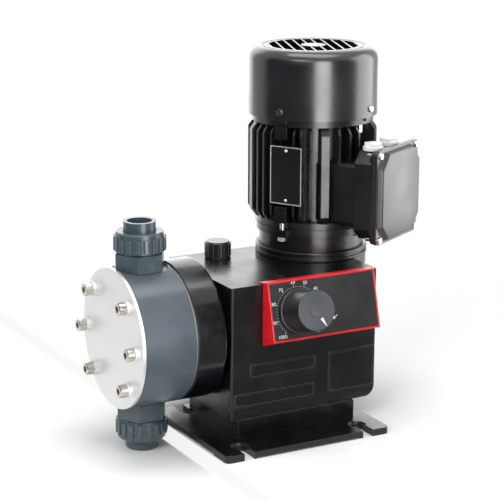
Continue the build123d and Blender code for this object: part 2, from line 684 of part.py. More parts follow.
with BuildPart() as flange_screws:
    with BuildSketch(head_plane(flange_floor - FLANGE_SCREW_HEAD_HEIGHT)):
        with Locations(*flange_screw_places):
            Circle(HEAD_SCREW_HEAD_RADIUS)
            RegularPolygon(HEAD_SCREW_HEX / 2, 6, mode=Mode.SUBTRACT)
    extrude(amount=FLANGE_SCREW_HEAD_HEIGHT / 2)
    with BuildSketch(head_plane(flange_floor - FLANGE_SCREW_HEAD_HEIGHT / 2)):
        with Locations(*flange_screw_places):
            Circle(HEAD_SCREW_HEAD_RADIUS)
    extrude(amount=FLANGE_SCREW_HEAD_HEIGHT / 2)
    with BuildSketch(head_plane(flange_floor)):
        with Locations(*flange_screw_places):
            Circle(HEAD_SCREW_RADIUS)
    extrude(amount=FLANGE_WALL + FLANGE_NECK_LENGTH + HOUSING_HEAD_WALL)
flange_screws.part.label = "flange_screws"
export_step(flange_screws.part, "parts/flange_screws.step")

with BuildPart() as tappet_bush:
    with BuildSketch(head_plane(flange_floor)):
        Circle(bush_radius)
        Circle(TAPPET_RADIUS + RUNNING_CLEARANCE, mode=Mode.SUBTRACT)
    extrude(amount=spring_left - flange_floor)
tappet_bush.part.label = "tappet_bush"
export_step(tappet_bush.part, "parts/tappet_bush.step")

# Dosing head with its chamber, ports and valve pockets
with BuildPart() as dosing_head:
    with BuildSketch(head_plane(head_left)):
        Circle(HEAD_RADIUS)
    extrude(amount=HEAD_LENGTH)
    chamfer(edges().sort_by(Axis.X)[0], 1.0)
    chamfer(edges().sort_by(Axis.X)[-1], 1.0)
    with BuildSketch(head_plane(head_right)):
        Circle(HEAD_CHAMBER_RADIUS)
    extrude(amount=-HEAD_CHAMBER_DEPTH, taper=18, mode=Mode.SUBTRACT)
    for side in (-1, 1):
        with BuildSketch(valve_plane(VALVE_FACE_LEVEL, side)):
            Circle(VALVE_HEX / sqrt(3) + 1.0)
        extrude(amount=HEAD_RADIUS - VALVE_FACE_LEVEL + 1.0, mode=Mode.SUBTRACT)
        with BuildSketch(valve_plane(VALVE_FACE_LEVEL, side)):
            Circle(VALVE_THREAD_RADIUS + THREAD_CLEARANCE)
        extrude(amount=VALVE_SEAT_LEVEL - VALVE_FACE_LEVEL, mode=Mode.SUBTRACT)
        with BuildSketch(valve_plane(VALVE_SEAT_LEVEL, side)):
            Circle(PORT_RADIUS)
        extrude(amount=PORT_OFFSET - PORT_RADIUS - PORT_OVERRUN - VALVE_SEAT_LEVEL, mode=Mode.SUBTRACT)
        with BuildSketch(head_plane(head_right - HEAD_CHAMBER_DEPTH)):
            with Locations((0, side * PORT_OFFSET)):
                Circle(CHAMBER_PORT_RADIUS)
        extrude(amount=valve_x - head_right + HEAD_CHAMBER_DEPTH, mode=Mode.SUBTRACT)
    with BuildSketch(head_plane(head_left)):
        with Locations(*head_screw_places):
            Circle(HEAD_SCREW_RADIUS + THREAD_CLEARANCE)
    extrude(amount=HEAD_LENGTH, mode=Mode.SUBTRACT)
dosing_head.part.label = "dosing_head"
export_step(dosing_head.part, "parts/dosing_head.step")

with BuildPart() as head_plate:
    with BuildSketch(head_plane(cover_left)):
        Circle(HEAD_RADIUS)
        with Locations(*head_screw_places):
            Circle(HEAD_SCREW_RADIUS + THREAD_CLEARANCE, mode=Mode.SUBTRACT)
    extrude(amount=COVER_PLATE_THICKNESS)
    chamfer(edges().group_by(Axis.X)[0].sort_by(SortBy.LENGTH)[-1], 0.4)
head_plate.part.label = "head_plate"
export_step(head_plate.part, "parts/head_plate.step")

washer_stack = HEAD_WASHER_COUNT * HEAD_WASHER_THICKNESS
with BuildPart() as head_washers:
    for number in range(HEAD_WASHER_COUNT):
        with BuildSketch(head_plane(cover_left - (number + 1) * HEAD_WASHER_THICKNESS)):
            with Locations(*head_screw_places):
                Circle(HEAD_WASHER_RADIUS - 0.6 * (number % 2))
                Circle(HEAD_SCREW_RADIUS + THREAD_CLEARANCE, mode=Mode.SUBTRACT)
        extrude(amount=HEAD_WASHER_THICKNESS)
head_washers.part.label = "head_washers"
export_step(head_washers.part, "parts/head_washers.step")

screw_front = cover_left - washer_stack - HEAD_SCREW_HEAD_HEIGHT
with BuildPart() as head_screws:
    with BuildSketch(head_plane(screw_front)):
        with Locations(*head_screw_places):
            Circle(HEAD_SCREW_HEAD_RADIUS)
    extrude(amount=HEAD_SCREW_HEAD_HEIGHT)
    chamfer(edges().group_by(Axis.X)[0], 0.7)
    with BuildSketch(head_plane(screw_front)):
        with Locations(*head_screw_places):
            RegularPolygon(HEAD_SCREW_HEX / 2, 6, major_radius=False)
    extrude(amount=HEAD_SCREW_HEAD_HEIGHT / 2, mode=Mode.SUBTRACT)
    with BuildSketch(head_plane(screw_front + HEAD_SCREW_HEAD_HEIGHT)):
        with Locations(*head_screw_places):
            Circle(HEAD_SCREW_RADIUS)
    extrude(amount=flange_left + HEAD_SCREW_HOLD - screw_front - HEAD_SCREW_HEAD_HEIGHT)
head_screws.part.label = "head_screws"
export_step(head_screws.part, "parts/head_screws.step")

# Diaphragm with one rolled ring between its clamped rim and its middle
roll_middle = (FLANGE_CAVITY_RADIUS + TAPPET_PLATE_RADIUS) / 2
roll_half = sqrt((DIAPHRAGM_ROLL_RADIUS + DIAPHRAGM_THICKNESS) ** 2 - DIAPHRAGM_THICKNESS**2)
head_axis = Axis((head_right, head_y, HEAD_HEIGHT), (1, 0, 0))
head_section = Plane(origin=(head_right, head_y, HEAD_HEIGHT), x_dir=(1, 0, 0), z_dir=(0, -1, 0))
with BuildPart() as diaphragm:
    with BuildSketch(head_section):
        with BuildLine():
            stud_hole = CORE_STUD_RADIUS + SEAT_CLEARANCE
            Line((0, stud_hole), (0, roll_middle - roll_half))
            ThreePointArc(
                (0, roll_middle - roll_half),
                (-DIAPHRAGM_ROLL_RADIUS, roll_middle),
                (0, roll_middle + roll_half),
            )
            Polyline(
                (0, roll_middle + roll_half),
                (0, DIAPHRAGM_RADIUS),
                (DIAPHRAGM_THICKNESS, DIAPHRAGM_RADIUS),
                (DIAPHRAGM_THICKNESS, roll_middle + DIAPHRAGM_ROLL_RADIUS),
            )
            ThreePointArc(
                (DIAPHRAGM_THICKNESS, roll_middle + DIAPHRAGM_ROLL_RADIUS),
                (DIAPHRAGM_THICKNESS - DIAPHRAGM_ROLL_RADIUS, roll_middle),
                (DIAPHRAGM_THICKNESS, roll_middle - DIAPHRAGM_ROLL_RADIUS),
            )
            Polyline(
                (DIAPHRAGM_THICKNESS, roll_middle - DIAPHRAGM_ROLL_RADIUS),
                (DIAPHRAGM_THICKNESS, stud_hole),
                (0, stud_hole),
            )
        make_face()
    revolve(axis=head_axis)
    with BuildSketch(head_plane(head_right)):
        with Locations(*head_screw_places):
            Circle(HEAD_SCREW_RADIUS + THREAD_CLEARANCE)
    extrude(amount=DIAPHRAGM_THICKNESS, mode=Mode.SUBTRACT)
diaphragm.part.label = "diaphragm"
export_step(diaphragm.part, "parts/diaphragm.step")

with BuildPart() as diaphragm_core:
    with BuildSketch(head_plane(head_right - CORE_THICKNESS)):
        Circle(CORE_RADIUS)
    extrude(amount=CORE_THICKNESS)
    fillet(edges().sort_by(Axis.X)[0], 1.5)
    with BuildSketch(head_plane(head_right)):
        Circle(CORE_STUD_RADIUS)
    extrude(amount=CORE_STUD_LENGTH)
diaphragm_core.part.label = "diaphragm_core"
export_step(diaphragm_core.part, "parts/diaphragm_core.step")

# Tappet, drawn at the back of its stroke, and its return spring
knob_x = PANEL_X + KNOB_SHIFT_X
tappet_end = shaft_x - ECCENTRIC_BEARING_RADIUS - ECCENTRICITY - MOVING_GAP
collar_right = knob_x - CAM_RADIUS - CAM_OFFSET - MOVING_GAP
collar_left = collar_right - TAPPET_COLLAR_THICKNESS
with BuildPart() as tappet:
    with BuildSketch(head_plane(flange_left)):
        Circle(TAPPET_PLATE_RADIUS)
    extrude(amount=TAPPET_PLATE_THICKNESS)
    with BuildSketch(head_plane(flange_left)):
        Circle(TAPPET_RADIUS)
    extrude(amount=tappet_end - flange_left)
    with BuildSketch(head_plane(collar_left)):
        Circle(TAPPET_COLLAR_RADIUS)
    extrude(amount=TAPPET_COLLAR_THICKNESS)
    with BuildSketch(head_plane(tappet_end)):
        Circle(TAPPET_FOOT_RADIUS)
    extrude(amount=-TAPPET_FOOT_THICKNESS)
    with BuildSketch(head_plane(flange_left)):
        Circle(CORE_STUD_RADIUS + THREAD_CLEARANCE)
    extrude(amount=CORE_STUD_LENGTH - DIAPHRAGM_THICKNESS + 1.0, mode=Mode.SUBTRACT)
tappet.part.label = "tappet"
export_step(tappet.part, "parts/tappet.step")

spring_length = collar_left - spring_left
spring_pitch = (spring_length - SPRING_WIRE) / SPRING_TURNS
with BuildPart() as return_spring:
    with BuildLine():
        coil = Helix(
            pitch=spring_pitch,
            height=spring_pitch * SPRING_TURNS,
            radius=SPRING_RADIUS,
            center=(spring_left + SPRING_WIRE / 2, head_y, HEAD_HEIGHT),
            direction=(1, 0, 0),
        )
    with BuildSketch(Plane(origin=coil @ 0, z_dir=coil % 0)):
        Circle(SPRING_WIRE / 2)
    sweep(path=coil, is_frenet=True)
return_spring.part.label = "return_spring"
export_step(return_spring.part, "parts/return_spring.step")

# Valves and unions: the same above and below the head, but each ball lifts upwards off its seat
valve_hex_top = VALVE_FACE_LEVEL + VALVE_HEX_HEIGHT
valve_end = valve_hex_top + VALVE_COLLAR_HEIGHT
cartridge_end = VALVE_SEAT_LEVEL + VALVE_SEAT_THICKNESS + CAGE_LENGTH
nut_start = valve_hex_top + MOVING_GAP
nut_end = nut_start + NUT_HEIGHT
socket_start = valve_end + UNION_SEAL_THICKNESS
socket_end = socket_start + SOCKET_LENGTH
ball_lift = sqrt(BALL_RADIUS**2 - PORT_RADIUS**2) + SEAT_CLEARANCE


def valve_body(side):
    """Hexagon body with a threaded spigot into the head and a threaded collar into the union nut."""
    with BuildPart() as body:
        with BuildSketch(valve_plane(VALVE_SEAT_LEVEL, side)):
            Circle(VALVE_THREAD_RADIUS)
        extrude(amount=VALVE_FACE_LEVEL - VALVE_SEAT_LEVEL)
        with BuildSketch(valve_plane(VALVE_FACE_LEVEL, side)):
            RegularPolygon(VALVE_HEX / 2, 6, major_radius=False)
        extrude(amount=VALVE_HEX_HEIGHT)
        with BuildSketch(valve_plane(valve_hex_top, side)):
            Circle(VALVE_COLLAR_RADIUS)
        extrude(amount=VALVE_COLLAR_HEIGHT)
        with BuildSketch(valve_plane(VALVE_SEAT_LEVEL, side)):
            Circle(VALVE_BORE_RADIUS + SEAT_CLEARANCE)
        extrude(amount=cartridge_end - VALVE_SEAT_LEVEL, mode=Mode.SUBTRACT)
        with BuildSketch(valve_plane(cartridge_end, side)):
            Circle(VALVE_BORE_RADIUS - 1.5)
        extrude(amount=valve_end - cartridge_end, mode=Mode.SUBTRACT)
    return body.part


def valve_seat(side):
    """Seat ring at the lower end of the valve's cartridge."""
    level = VALVE_SEAT_LEVEL if side > 0 else cartridge_end - VALVE_SEAT_THICKNESS
    with BuildPart() as seat:
        with BuildSketch(valve_plane(level, side)):
            Circle(VALVE_BORE_RADIUS)
            Circle(PORT_RADIUS, mode=Mode.SUBTRACT)
        extrude(amount=VALVE_SEAT_THICKNESS)
    return seat.part


def valve_cage(side):
    """Ribbed guide tube above the seat, with a cross that stops the ball."""
    level = VALVE_SEAT_LEVEL + VALVE_SEAT_THICKNESS if side > 0 else VALVE_SEAT_LEVEL
    stop = cartridge_end - 1.4 if side > 0 else VALVE_SEAT_LEVEL
    with BuildPart() as cage:
        with BuildSketch(valve_plane(level, side)):
            Circle(VALVE_BORE_RADIUS)
            Circle(VALVE_BORE_RADIUS - 1.0, mode=Mode.SUBTRACT)
            with PolarLocations(VALVE_BORE_RADIUS - 1.25, CAGE_RIB_COUNT):
                Rectangle(1.9, 1.6)
        extrude(amount=CAGE_LENGTH)
        with BuildSketch(valve_plane(stop, side)):
            with PolarLocations(0, 2, angular_range=180):
                Rectangle(2 * VALVE_BORE_RADIUS - 1.0, 1.6)
        extrude(amount=1.4)
    return cage.part


def valve_ball(side):
    """Ball at rest on its seat."""
    seat_level = VALVE_SEAT_LEVEL + VALVE_SEAT_THICKNESS if side > 0 else cartridge_end - VALVE_SEAT_THICKNESS
    with BuildPart() as ball:
        with Locations(valve_plane(seat_level + side * ball_lift, side)):
            Sphere(BALL_RADIUS)
    return ball.part


def union_nut(side):
    """Ribbed union nut with an inner lip over the socket's collar."""
    with BuildPart() as nut:
        with BuildSketch(valve_plane(nut_start, side)):
            Circle(NUT_RADIUS - NUT_RIB_DEPTH)
        extrude(amount=NUT_HEIGHT)
        chamfer(edges().filter_by(GeomType.CIRCLE), 1.2)
        with BuildSketch(valve_plane(nut_start + 2.4, side)):
            with PolarLocations(NUT_RADIUS - NUT_RIB_DEPTH, NUT_RIB_COUNT):
                RectangleRounded(2 * NUT_RIB_DEPTH, 5.2, 1.2)
        extrude(amount=NUT_HEIGHT - 2.4 - NUT_SHOULDER)
        with BuildSketch(valve_plane(nut_start, side)):
            Circle(VALVE_COLLAR_RADIUS + THREAD_CLEARANCE)
        extrude(amount=NUT_HEIGHT - NUT_LIP, mode=Mode.SUBTRACT)
        with BuildSketch(valve_plane(nut_end, side)):
            Circle(SOCKET_RADIUS + 0.2)
        extrude(amount=-NUT_LIP, mode=Mode.SUBTRACT)
    return nut.part


def union_socket(side):
    """Pipe socket with the collar that the nut draws down."""
    with BuildPart() as socket:
        with BuildSketch(valve_plane(socket_start, side)):
            Circle(SOCKET_COLLAR_RADIUS)
        extrude(amount=nut_end - NUT_LIP - socket_start)
        with BuildSketch(valve_plane(socket_start, side)):
            Circle(SOCKET_RADIUS)
        extrude(amount=SOCKET_LENGTH)
        with BuildSketch(valve_plane(socket_end, side)):
            Circle(SOCKET_BORE_RADIUS)
        extrude(amount=-SOCKET_DEPTH, mode=Mode.SUBTRACT)
        with BuildSketch(valve_plane(socket_start, side)):
            Circle(VALVE_BORE_RADIUS)
        extrude(amount=SOCKET_LENGTH - SOCKET_DEPTH, mode=Mode.SUBTRACT)
    return socket.part


def union_seal(side):
    """Flat seal between the valve body and the socket."""
    with BuildPart() as seal:
        with BuildSketch(valve_plane(valve_end, side)):
            Circle(SOCKET_RADIUS)
            Circle(VALVE_BORE_RADIUS + 1.0, mode=Mode.SUBTRACT)
        extrude(amount=UNION_SEAL_THICKNESS)
    return seal.part


for side, prefix in ((-1, "suction"), (1, "discharge")):
    for maker, suffix in (
        (valve_body, "valve_body"),
        (valve_ball, "ball"),
        (union_nut, "nut"),
        (union_socket, "socket"),
    ):
        piece = maker(side)
        piece.label = f"{prefix}_{suffix}"
        export_step(piece, f"parts/{piece.label}.step")

valve_seats = Compound(label="valve_seats", children=[valve_seat(-1), valve_seat(1)])
export_step(valve_seats, "parts/valve_seats.step")
valve_cages = Compound(label="valve_cages", children=[valve_cage(-1), valve_cage(1)])
export_step(valve_cages, "parts/valve_cages.step")
union_seals = Compound(label="union_seals", children=[union_seal(-1), union_seal(1)])
export_step(union_seals, "parts/union_seals.step")

# Control panel: a wedge-shaped frame that hooks over the housing's top edge, and its face
panel_top = housing_top + PANEL_TOP_RISE
panel_front_top = housing_front - PANEL_TOP_DEPTH
panel_front_low = panel_front_top - PANEL_SLOPE_HEIGHT * tan(radians(PANEL_TILT))
panel_low = panel_top - PANEL_SLOPE_HEIGHT
panel_left = PANEL_X - PANEL_LENGTH / 2
panel_slope = PANEL_SLOPE_HEIGHT / cos(radians(PANEL_TILT))
with BuildPart() as control_panel:
    with BuildSketch(Plane.YZ.offset(panel_left)):
        with BuildLine():
            Polyline(
                (housing_front, panel_low - PANEL_UNDER_DROP),
                (panel_front_low, panel_low),
                (panel_front_top, panel_top),
                (housing_front + PANEL_LIP, panel_top),
                (housing_front + PANEL_LIP, housing_top),
                (housing_front, housing_top),
                close=True,
            )
        make_face()
    extrude(amount=PANEL_LENGTH)
    fillet(edges().filter_by(Axis.X).group_by(Axis.Y)[0], PANEL_CORNER)
    with BuildSketch(Plane.YZ.offset(panel_left + PANEL_WALL)):
        with BuildLine():
            inner_front = FACE_THICKNESS + FACE_RECESS + PANEL_WALL
            Polyline(
                (housing_front + PANEL_WALL, panel_low - PANEL_UNDER_DROP + 2 * PANEL_WALL),
                (housing_front, panel_low - PANEL_UNDER_DROP + 2 * PANEL_WALL),
                (panel_front_low + inner_front, panel_low + PANEL_WALL),
                (panel_front_top + inner_front, panel_top - PANEL_WALL),
                (housing_front + 0.2, panel_top - PANEL_WALL),
                (housing_front + 0.2, housing_top),
                (housing_front + PANEL_WALL, housing_top),
                close=True,
            )
        make_face()
    extrude(amount=PANEL_LENGTH - 2 * PANEL_WALL, mode=Mode.SUBTRACT)
    with BuildSketch(panel_plane(0)):
        RectangleRounded(PANEL_LENGTH - 2 * PANEL_WALL, panel_slope - 2 * PANEL_WALL, PANEL_CORNER)
    extrude(amount=-FACE_THICKNESS - FACE_RECESS, mode=Mode.SUBTRACT)
    with BuildSketch(panel_plane(-FACE_THICKNESS - FACE_RECESS)):
        RectangleRounded(PANEL_LENGTH - 4 * PANEL_WALL, panel_slope - 5 * PANEL_WALL, PANEL_CORNER)
    extrude(amount=-2.5 * PANEL_WALL, mode=Mode.SUBTRACT)
control_panel.part.label = "control_panel"
export_step(control_panel.part, "parts/control_panel.step")

with BuildPart() as panel_face:
    with BuildSketch(panel_plane(-FACE_RECESS)):
        RectangleRounded(
            PANEL_LENGTH - 2 * PANEL_WALL - 2 * SEAT_CLEARANCE,
            panel_slope - 2 * PANEL_WALL - 2 * SEAT_CLEARANCE,
            PANEL_CORNER,
        )
        with Locations((KNOB_SHIFT_X, KNOB_SHIFT_UP)):
            Circle(SPINDLE_RADIUS + MOVING_GAP, mode=Mode.SUBTRACT)
    extrude(amount=-FACE_THICKNESS)
panel_face.part.label = "panel_face"
export_step(panel_face.part, "parts/panel_face.step")

# Stroke knob, its cap, and the spindle whose cam stops the tappet's return
with BuildPart() as stroke_knob:
    with BuildSketch(knob_plane(MOVING_GAP)):
        Circle(KNOB_SKIRT_RADIUS)
    extrude(amount=KNOB_SKIRT_HEIGHT, taper=4)
    with BuildSketch(knob_plane(MOVING_GAP + KNOB_SKIRT_HEIGHT)):
        Circle(KNOB_RADIUS)
        with PolarLocations(KNOB_RADIUS + 0.5, KNOB_FLUTES):
            Circle(1.1, mode=Mode.SUBTRACT)
    extrude(amount=KNOB_HEIGHT - KNOB_SKIRT_HEIGHT - 1.5, taper=0.8)
    with BuildSketch(knob_plane(MOVING_GAP + KNOB_HEIGHT - 1.5)):
        Circle(KNOB_RADIUS - 0.7)
    extrude(amount=1.5, taper=30)
    with BuildSketch(knob_plane(MOVING_GAP)):
        Circle(KNOB_RADIUS - KNOB_WALL)
        Circle(SPINDLE_RADIUS + KNOB_WALL, mode=Mode.SUBTRACT)
    extrude(amount=KNOB_HEIGHT - 2 * KNOB_WALL, mode=Mode.SUBTRACT)
    with BuildSketch(knob_plane(MOVING_GAP)):
        Circle(SPINDLE_RADIUS + SEAT_CLEARANCE)
    extrude(amount=KNOB_HEIGHT - 2 * KNOB_WALL, mode=Mode.SUBTRACT)
stroke_knob.part.label = "stroke_knob"
export_step(stroke_knob.part, "parts/stroke_knob.step")

with BuildPart() as knob_cap:
    with BuildSketch(knob_plane(MOVING_GAP + KNOB_HEIGHT)):
        Circle(KNOB_CAP_RADIUS)
    extrude(amount=KNOB_CAP_HEIGHT)
    fillet(edges().filter_by(GeomType.CIRCLE).sort_by(Axis.Y)[0], 0.4)
knob_cap.part.label = "knob_cap"
export_step(knob_cap.part, "parts/knob_cap.step")

with BuildPart() as adjusting_spindle:
    with BuildSketch(knob_plane(-SPINDLE_REACH)):
        Circle(SPINDLE_RADIUS)
    extrude(amount=SPINDLE_REACH + MOVING_GAP + KNOB_HEIGHT - 2 * KNOB_WALL)
    with BuildSketch(knob_plane(-SPINDLE_REACH)):
        with Locations((CAM_OFFSET, 0)):
            Circle(CAM_RADIUS)
    extrude(amount=CAM_THICKNESS)
adjusting_spindle.part.label = "adjusting_spindle"
export_step(adjusting_spindle.part, "parts/adjusting_spindle.step")

knob_level = knob_plane(0).origin
bush_out = (housing_front - knob_level.Y) / cos(radians(PANEL_TILT)) - 2.0
with BuildPart() as spindle_bush:
    with BuildSketch(knob_plane(-bush_out)):
        Circle(SPINDLE_BUSH_RADIUS)
        Circle(SPINDLE_RADIUS + RUNNING_CLEARANCE, mode=Mode.SUBTRACT)
    extrude(amount=-SPINDLE_BUSH_LENGTH)
spindle_bush.part.label = "spindle_bush"
export_step(spindle_bush.part, "parts/spindle_bush.step")

# Eccentric shaft, its bearing ring, the worm wheel and the bearings
shaft_end = rear_bearing_y + BEARING_WIDTH - BEARING_SHOULDER
shaft_start = front_bearing_y + BEARING_SHOULDER
with BuildPart() as eccentric_shaft:
    with BuildSketch(shaft_plane(shaft_start)):
        Circle(SHAFT_END_RADIUS)
    extrude(amount=shaft_end - shaft_start)
    with BuildSketch(shaft_plane(front_bearing_y + BEARING_WIDTH + BEARING_SHOULDER)):
        Circle(SHAFT_RADIUS)
    extrude(amount=rear_bearing_y - front_bearing_y - BEARING_WIDTH - 2 * BEARING_SHOULDER)
    with BuildSketch(shaft_plane(head_y - ECCENTRIC_WIDTH / 2)):
        with Locations((0, ECCENTRICITY)):
            Circle(ECCENTRIC_RADIUS)
    extrude(amount=ECCENTRIC_WIDTH)
eccentric_shaft.part.label = "eccentric_shaft"
export_step(eccentric_shaft.part, "parts/eccentric_shaft.step")

with BuildPart() as eccentric_bearing:
    with BuildSketch(shaft_plane(head_y - ECCENTRIC_WIDTH / 2)):
        with Locations((0, ECCENTRICITY)):
            Circle(ECCENTRIC_BEARING_RADIUS)
            Circle(ECCENTRIC_RADIUS + SEAT_CLEARANCE, mode=Mode.SUBTRACT)
    extrude(amount=ECCENTRIC_WIDTH)
eccentric_bearing.part.label = "eccentric_bearing"
export_step(eccentric_bearing.part, "parts/eccentric_bearing.step")

tooth_pitch = pi * GEAR_MODULE
tooth_half = (tooth_pitch / 2 - TOOTH_PLAY) / 2
tooth_slope = tan(radians(TOOTH_ANGLE))


def wheel_outline(turn):
    """Corners of the wheel's toothed outline, turned by an angle in degrees, with a gap towards the worm."""
    corners = []
    for number in range(WHEEL_TEETH):
        centre = turn + 90 + (number + 0.5) * 360 / WHEEL_TEETH
        root_half = degrees((tooth_half + (wheel_pitch_radius - wheel_root_radius) * tooth_slope) / wheel_root_radius)
        tip_half = degrees((tooth_half - (wheel_tip_radius - wheel_pitch_radius) * tooth_slope) / wheel_tip_radius)
        corners += [
            polar(wheel_root_radius, centre - root_half),
            polar(wheel_tip_radius, centre - tip_half),
            polar(wheel_tip_radius, centre + tip_half),
            polar(wheel_root_radius, centre + root_half),
        ]
    return corners


# The teeth lean with the worm's lead, so each face is turned a little about the wheel's axis
lead_slope = tooth_pitch / (2 * pi * WORM_PITCH_RADIUS)
face_turn = degrees(WHEEL_WIDTH / 2 * lead_slope / wheel_pitch_radius)
with BuildPart() as worm_wheel:
    for end in (-1, 1):
        with BuildSketch(shaft_plane(MOTOR_Y + end * WHEEL_WIDTH / 2)):
            with BuildLine():
                Polyline(*wheel_outline(end * face_turn), close=True)
            make_face()
    loft(ruled=True)
    with BuildSketch(shaft_plane(MOTOR_Y - WHEEL_HUB_LENGTH / 2)):
        Circle(WHEEL_HUB_RADIUS)
    extrude(amount=WHEEL_HUB_LENGTH)
    with BuildSketch(shaft_plane(MOTOR_Y - WHEEL_HUB_LENGTH / 2)):
        Circle(SHAFT_RADIUS + SEAT_CLEARANCE)
    extrude(amount=WHEEL_HUB_LENGTH, mode=Mode.SUBTRACT)
worm_wheel.part.label = "worm_wheel"
export_step(worm_wheel.part, "parts/worm_wheel.step")

shaft_bearings = Compound(
    label="shaft_bearings",
    children=[
        bearing(shaft_plane(front_bearing_y), BEARING_RADIUS, SHAFT_END_RADIUS + RUNNING_CLEARANCE, BEARING_WIDTH),
        bearing(shaft_plane(rear_bearing_y), BEARING_RADIUS, SHAFT_END_RADIUS + RUNNING_CLEARANCE, BEARING_WIDTH),
    ],
)
export_step(shaft_bearings, "parts/shaft_bearings.step")

# Motor shaft with the worm on its nose
shield_floor = ring_top + 6.0
rear_bearing_z = rear_shield_top - REAR_SHIELD_PLATE - MOTOR_BEARING_WIDTH
fan_bottom = rear_shield_top + FAN_LIFT
shaft_top = fan_bottom + FAN_HEIGHT
with BuildPart() as motor_shaft:
    with BuildSketch(motor_plane(worm_bearing_z + BEARING_SHOULDER)):
        Circle(MOTOR_NOSE_RADIUS)
    extrude(amount=shaft_top - worm_bearing_z - BEARING_SHOULDER)
    with BuildSketch(motor_plane(ring_top)):
        Circle(MOTOR_SHAFT_RADIUS)
    extrude(amount=rear_shield_top + 2.0 - ring_top)
motor_shaft.part.label = "motor_shaft"
export_step(motor_shaft.part, "parts/motor_shaft.step")

worm_low = worm_middle - WORM_LENGTH / 2
thread_turns = 2 * int((WORM_LENGTH / tooth_pitch - 2) / 2) + 1
thread_low = worm_middle - thread_turns / 2 * tooth_pitch
with BuildPart() as worm:
    with BuildSketch(motor_plane(worm_low)):
        Circle(worm_root_radius)
    extrude(amount=WORM_LENGTH)
    with BuildLine():
        thread_path = Helix(
            pitch=tooth_pitch,
            height=thread_turns * tooth_pitch,
            radius=WORM_PITCH_RADIUS,
            center=(MOTOR_X, MOTOR_Y, thread_low),
        )
    thread_plane = Plane(origin=thread_path @ 0, x_dir=(1, 0, 0), z_dir=thread_path % 0)
    with BuildSketch(thread_plane):
        with BuildLine():
            tip_half = tooth_half - GEAR_MODULE * tooth_slope
            root_depth = WORM_PITCH_RADIUS - worm_root_radius + 0.4
            root_half = tooth_half + root_depth * tooth_slope
            Polyline(
                (GEAR_MODULE, -tip_half),
                (GEAR_MODULE, tip_half),
                (-root_depth, root_half),
                (-root_depth, -root_half),
                close=True,
            )
        make_face()
    sweep(path=thread_path, is_frenet=True)
    with BuildSketch(motor_plane(worm_low)):
        Circle(MOTOR_NOSE_RADIUS + SEAT_CLEARANCE)
    extrude(amount=WORM_LENGTH, mode=Mode.SUBTRACT)
worm.part.label = "worm"
export_step(worm.part, "parts/worm.step")

motor_bearings = Compound(
    label="motor_bearings",
    children=[
        bearing(motor_plane(worm_bearing_z), BEARING_RADIUS, MOTOR_NOSE_RADIUS + RUNNING_CLEARANCE, BEARING_WIDTH),
        bearing(
            motor_plane(shield_floor),
            MOTOR_BEARING_RADIUS,
            MOTOR_SHAFT_RADIUS + RUNNING_CLEARANCE,
            MOTOR_BEARING_WIDTH,
        ),
        bearing(
            motor_plane(rear_bearing_z),
            MOTOR_BEARING_RADIUS,
            MOTOR_SHAFT_RADIUS + RUNNING_CLEARANCE,
            MOTOR_BEARING_WIDTH,
        ),
    ],
)
export_step(motor_bearings, "parts/motor_bearings.step")

# Motor ring and drive-end shield
with BuildPart() as motor_ring:
    with BuildSketch(motor_plane(housing_top)):
        Circle(RING_RADIUS)
    extrude(amount=RING_HEIGHT)
    fillet(edges().filter_by(GeomType.CIRCLE), 1.0)
    with BuildSketch(motor_plane(housing_top + (RING_HEIGHT - RING_GROOVE_WIDTH) / 2)):
        Circle(RING_RADIUS + 1.0)
        Circle(RING_RADIUS - RING_GROOVE_DEPTH, mode=Mode.SUBTRACT)
    extrude(amount=RING_GROOVE_WIDTH, mode=Mode.SUBTRACT)
    with BuildSketch(motor_plane(housing_top)):
        Circle(RING_PILOT_RADIUS)
    extrude(amount=-RING_PILOT_HEIGHT)
    with BuildSketch(motor_plane(housing_top - RING_PILOT_HEIGHT)):
        Circle(RING_BORE_RADIUS)
    extrude(amount=RING_PILOT_HEIGHT + RING_HEIGHT, mode=Mode.SUBTRACT)
motor_ring.part.label = "motor_ring"
export_step(motor_ring.part, "parts/motor_ring.step")

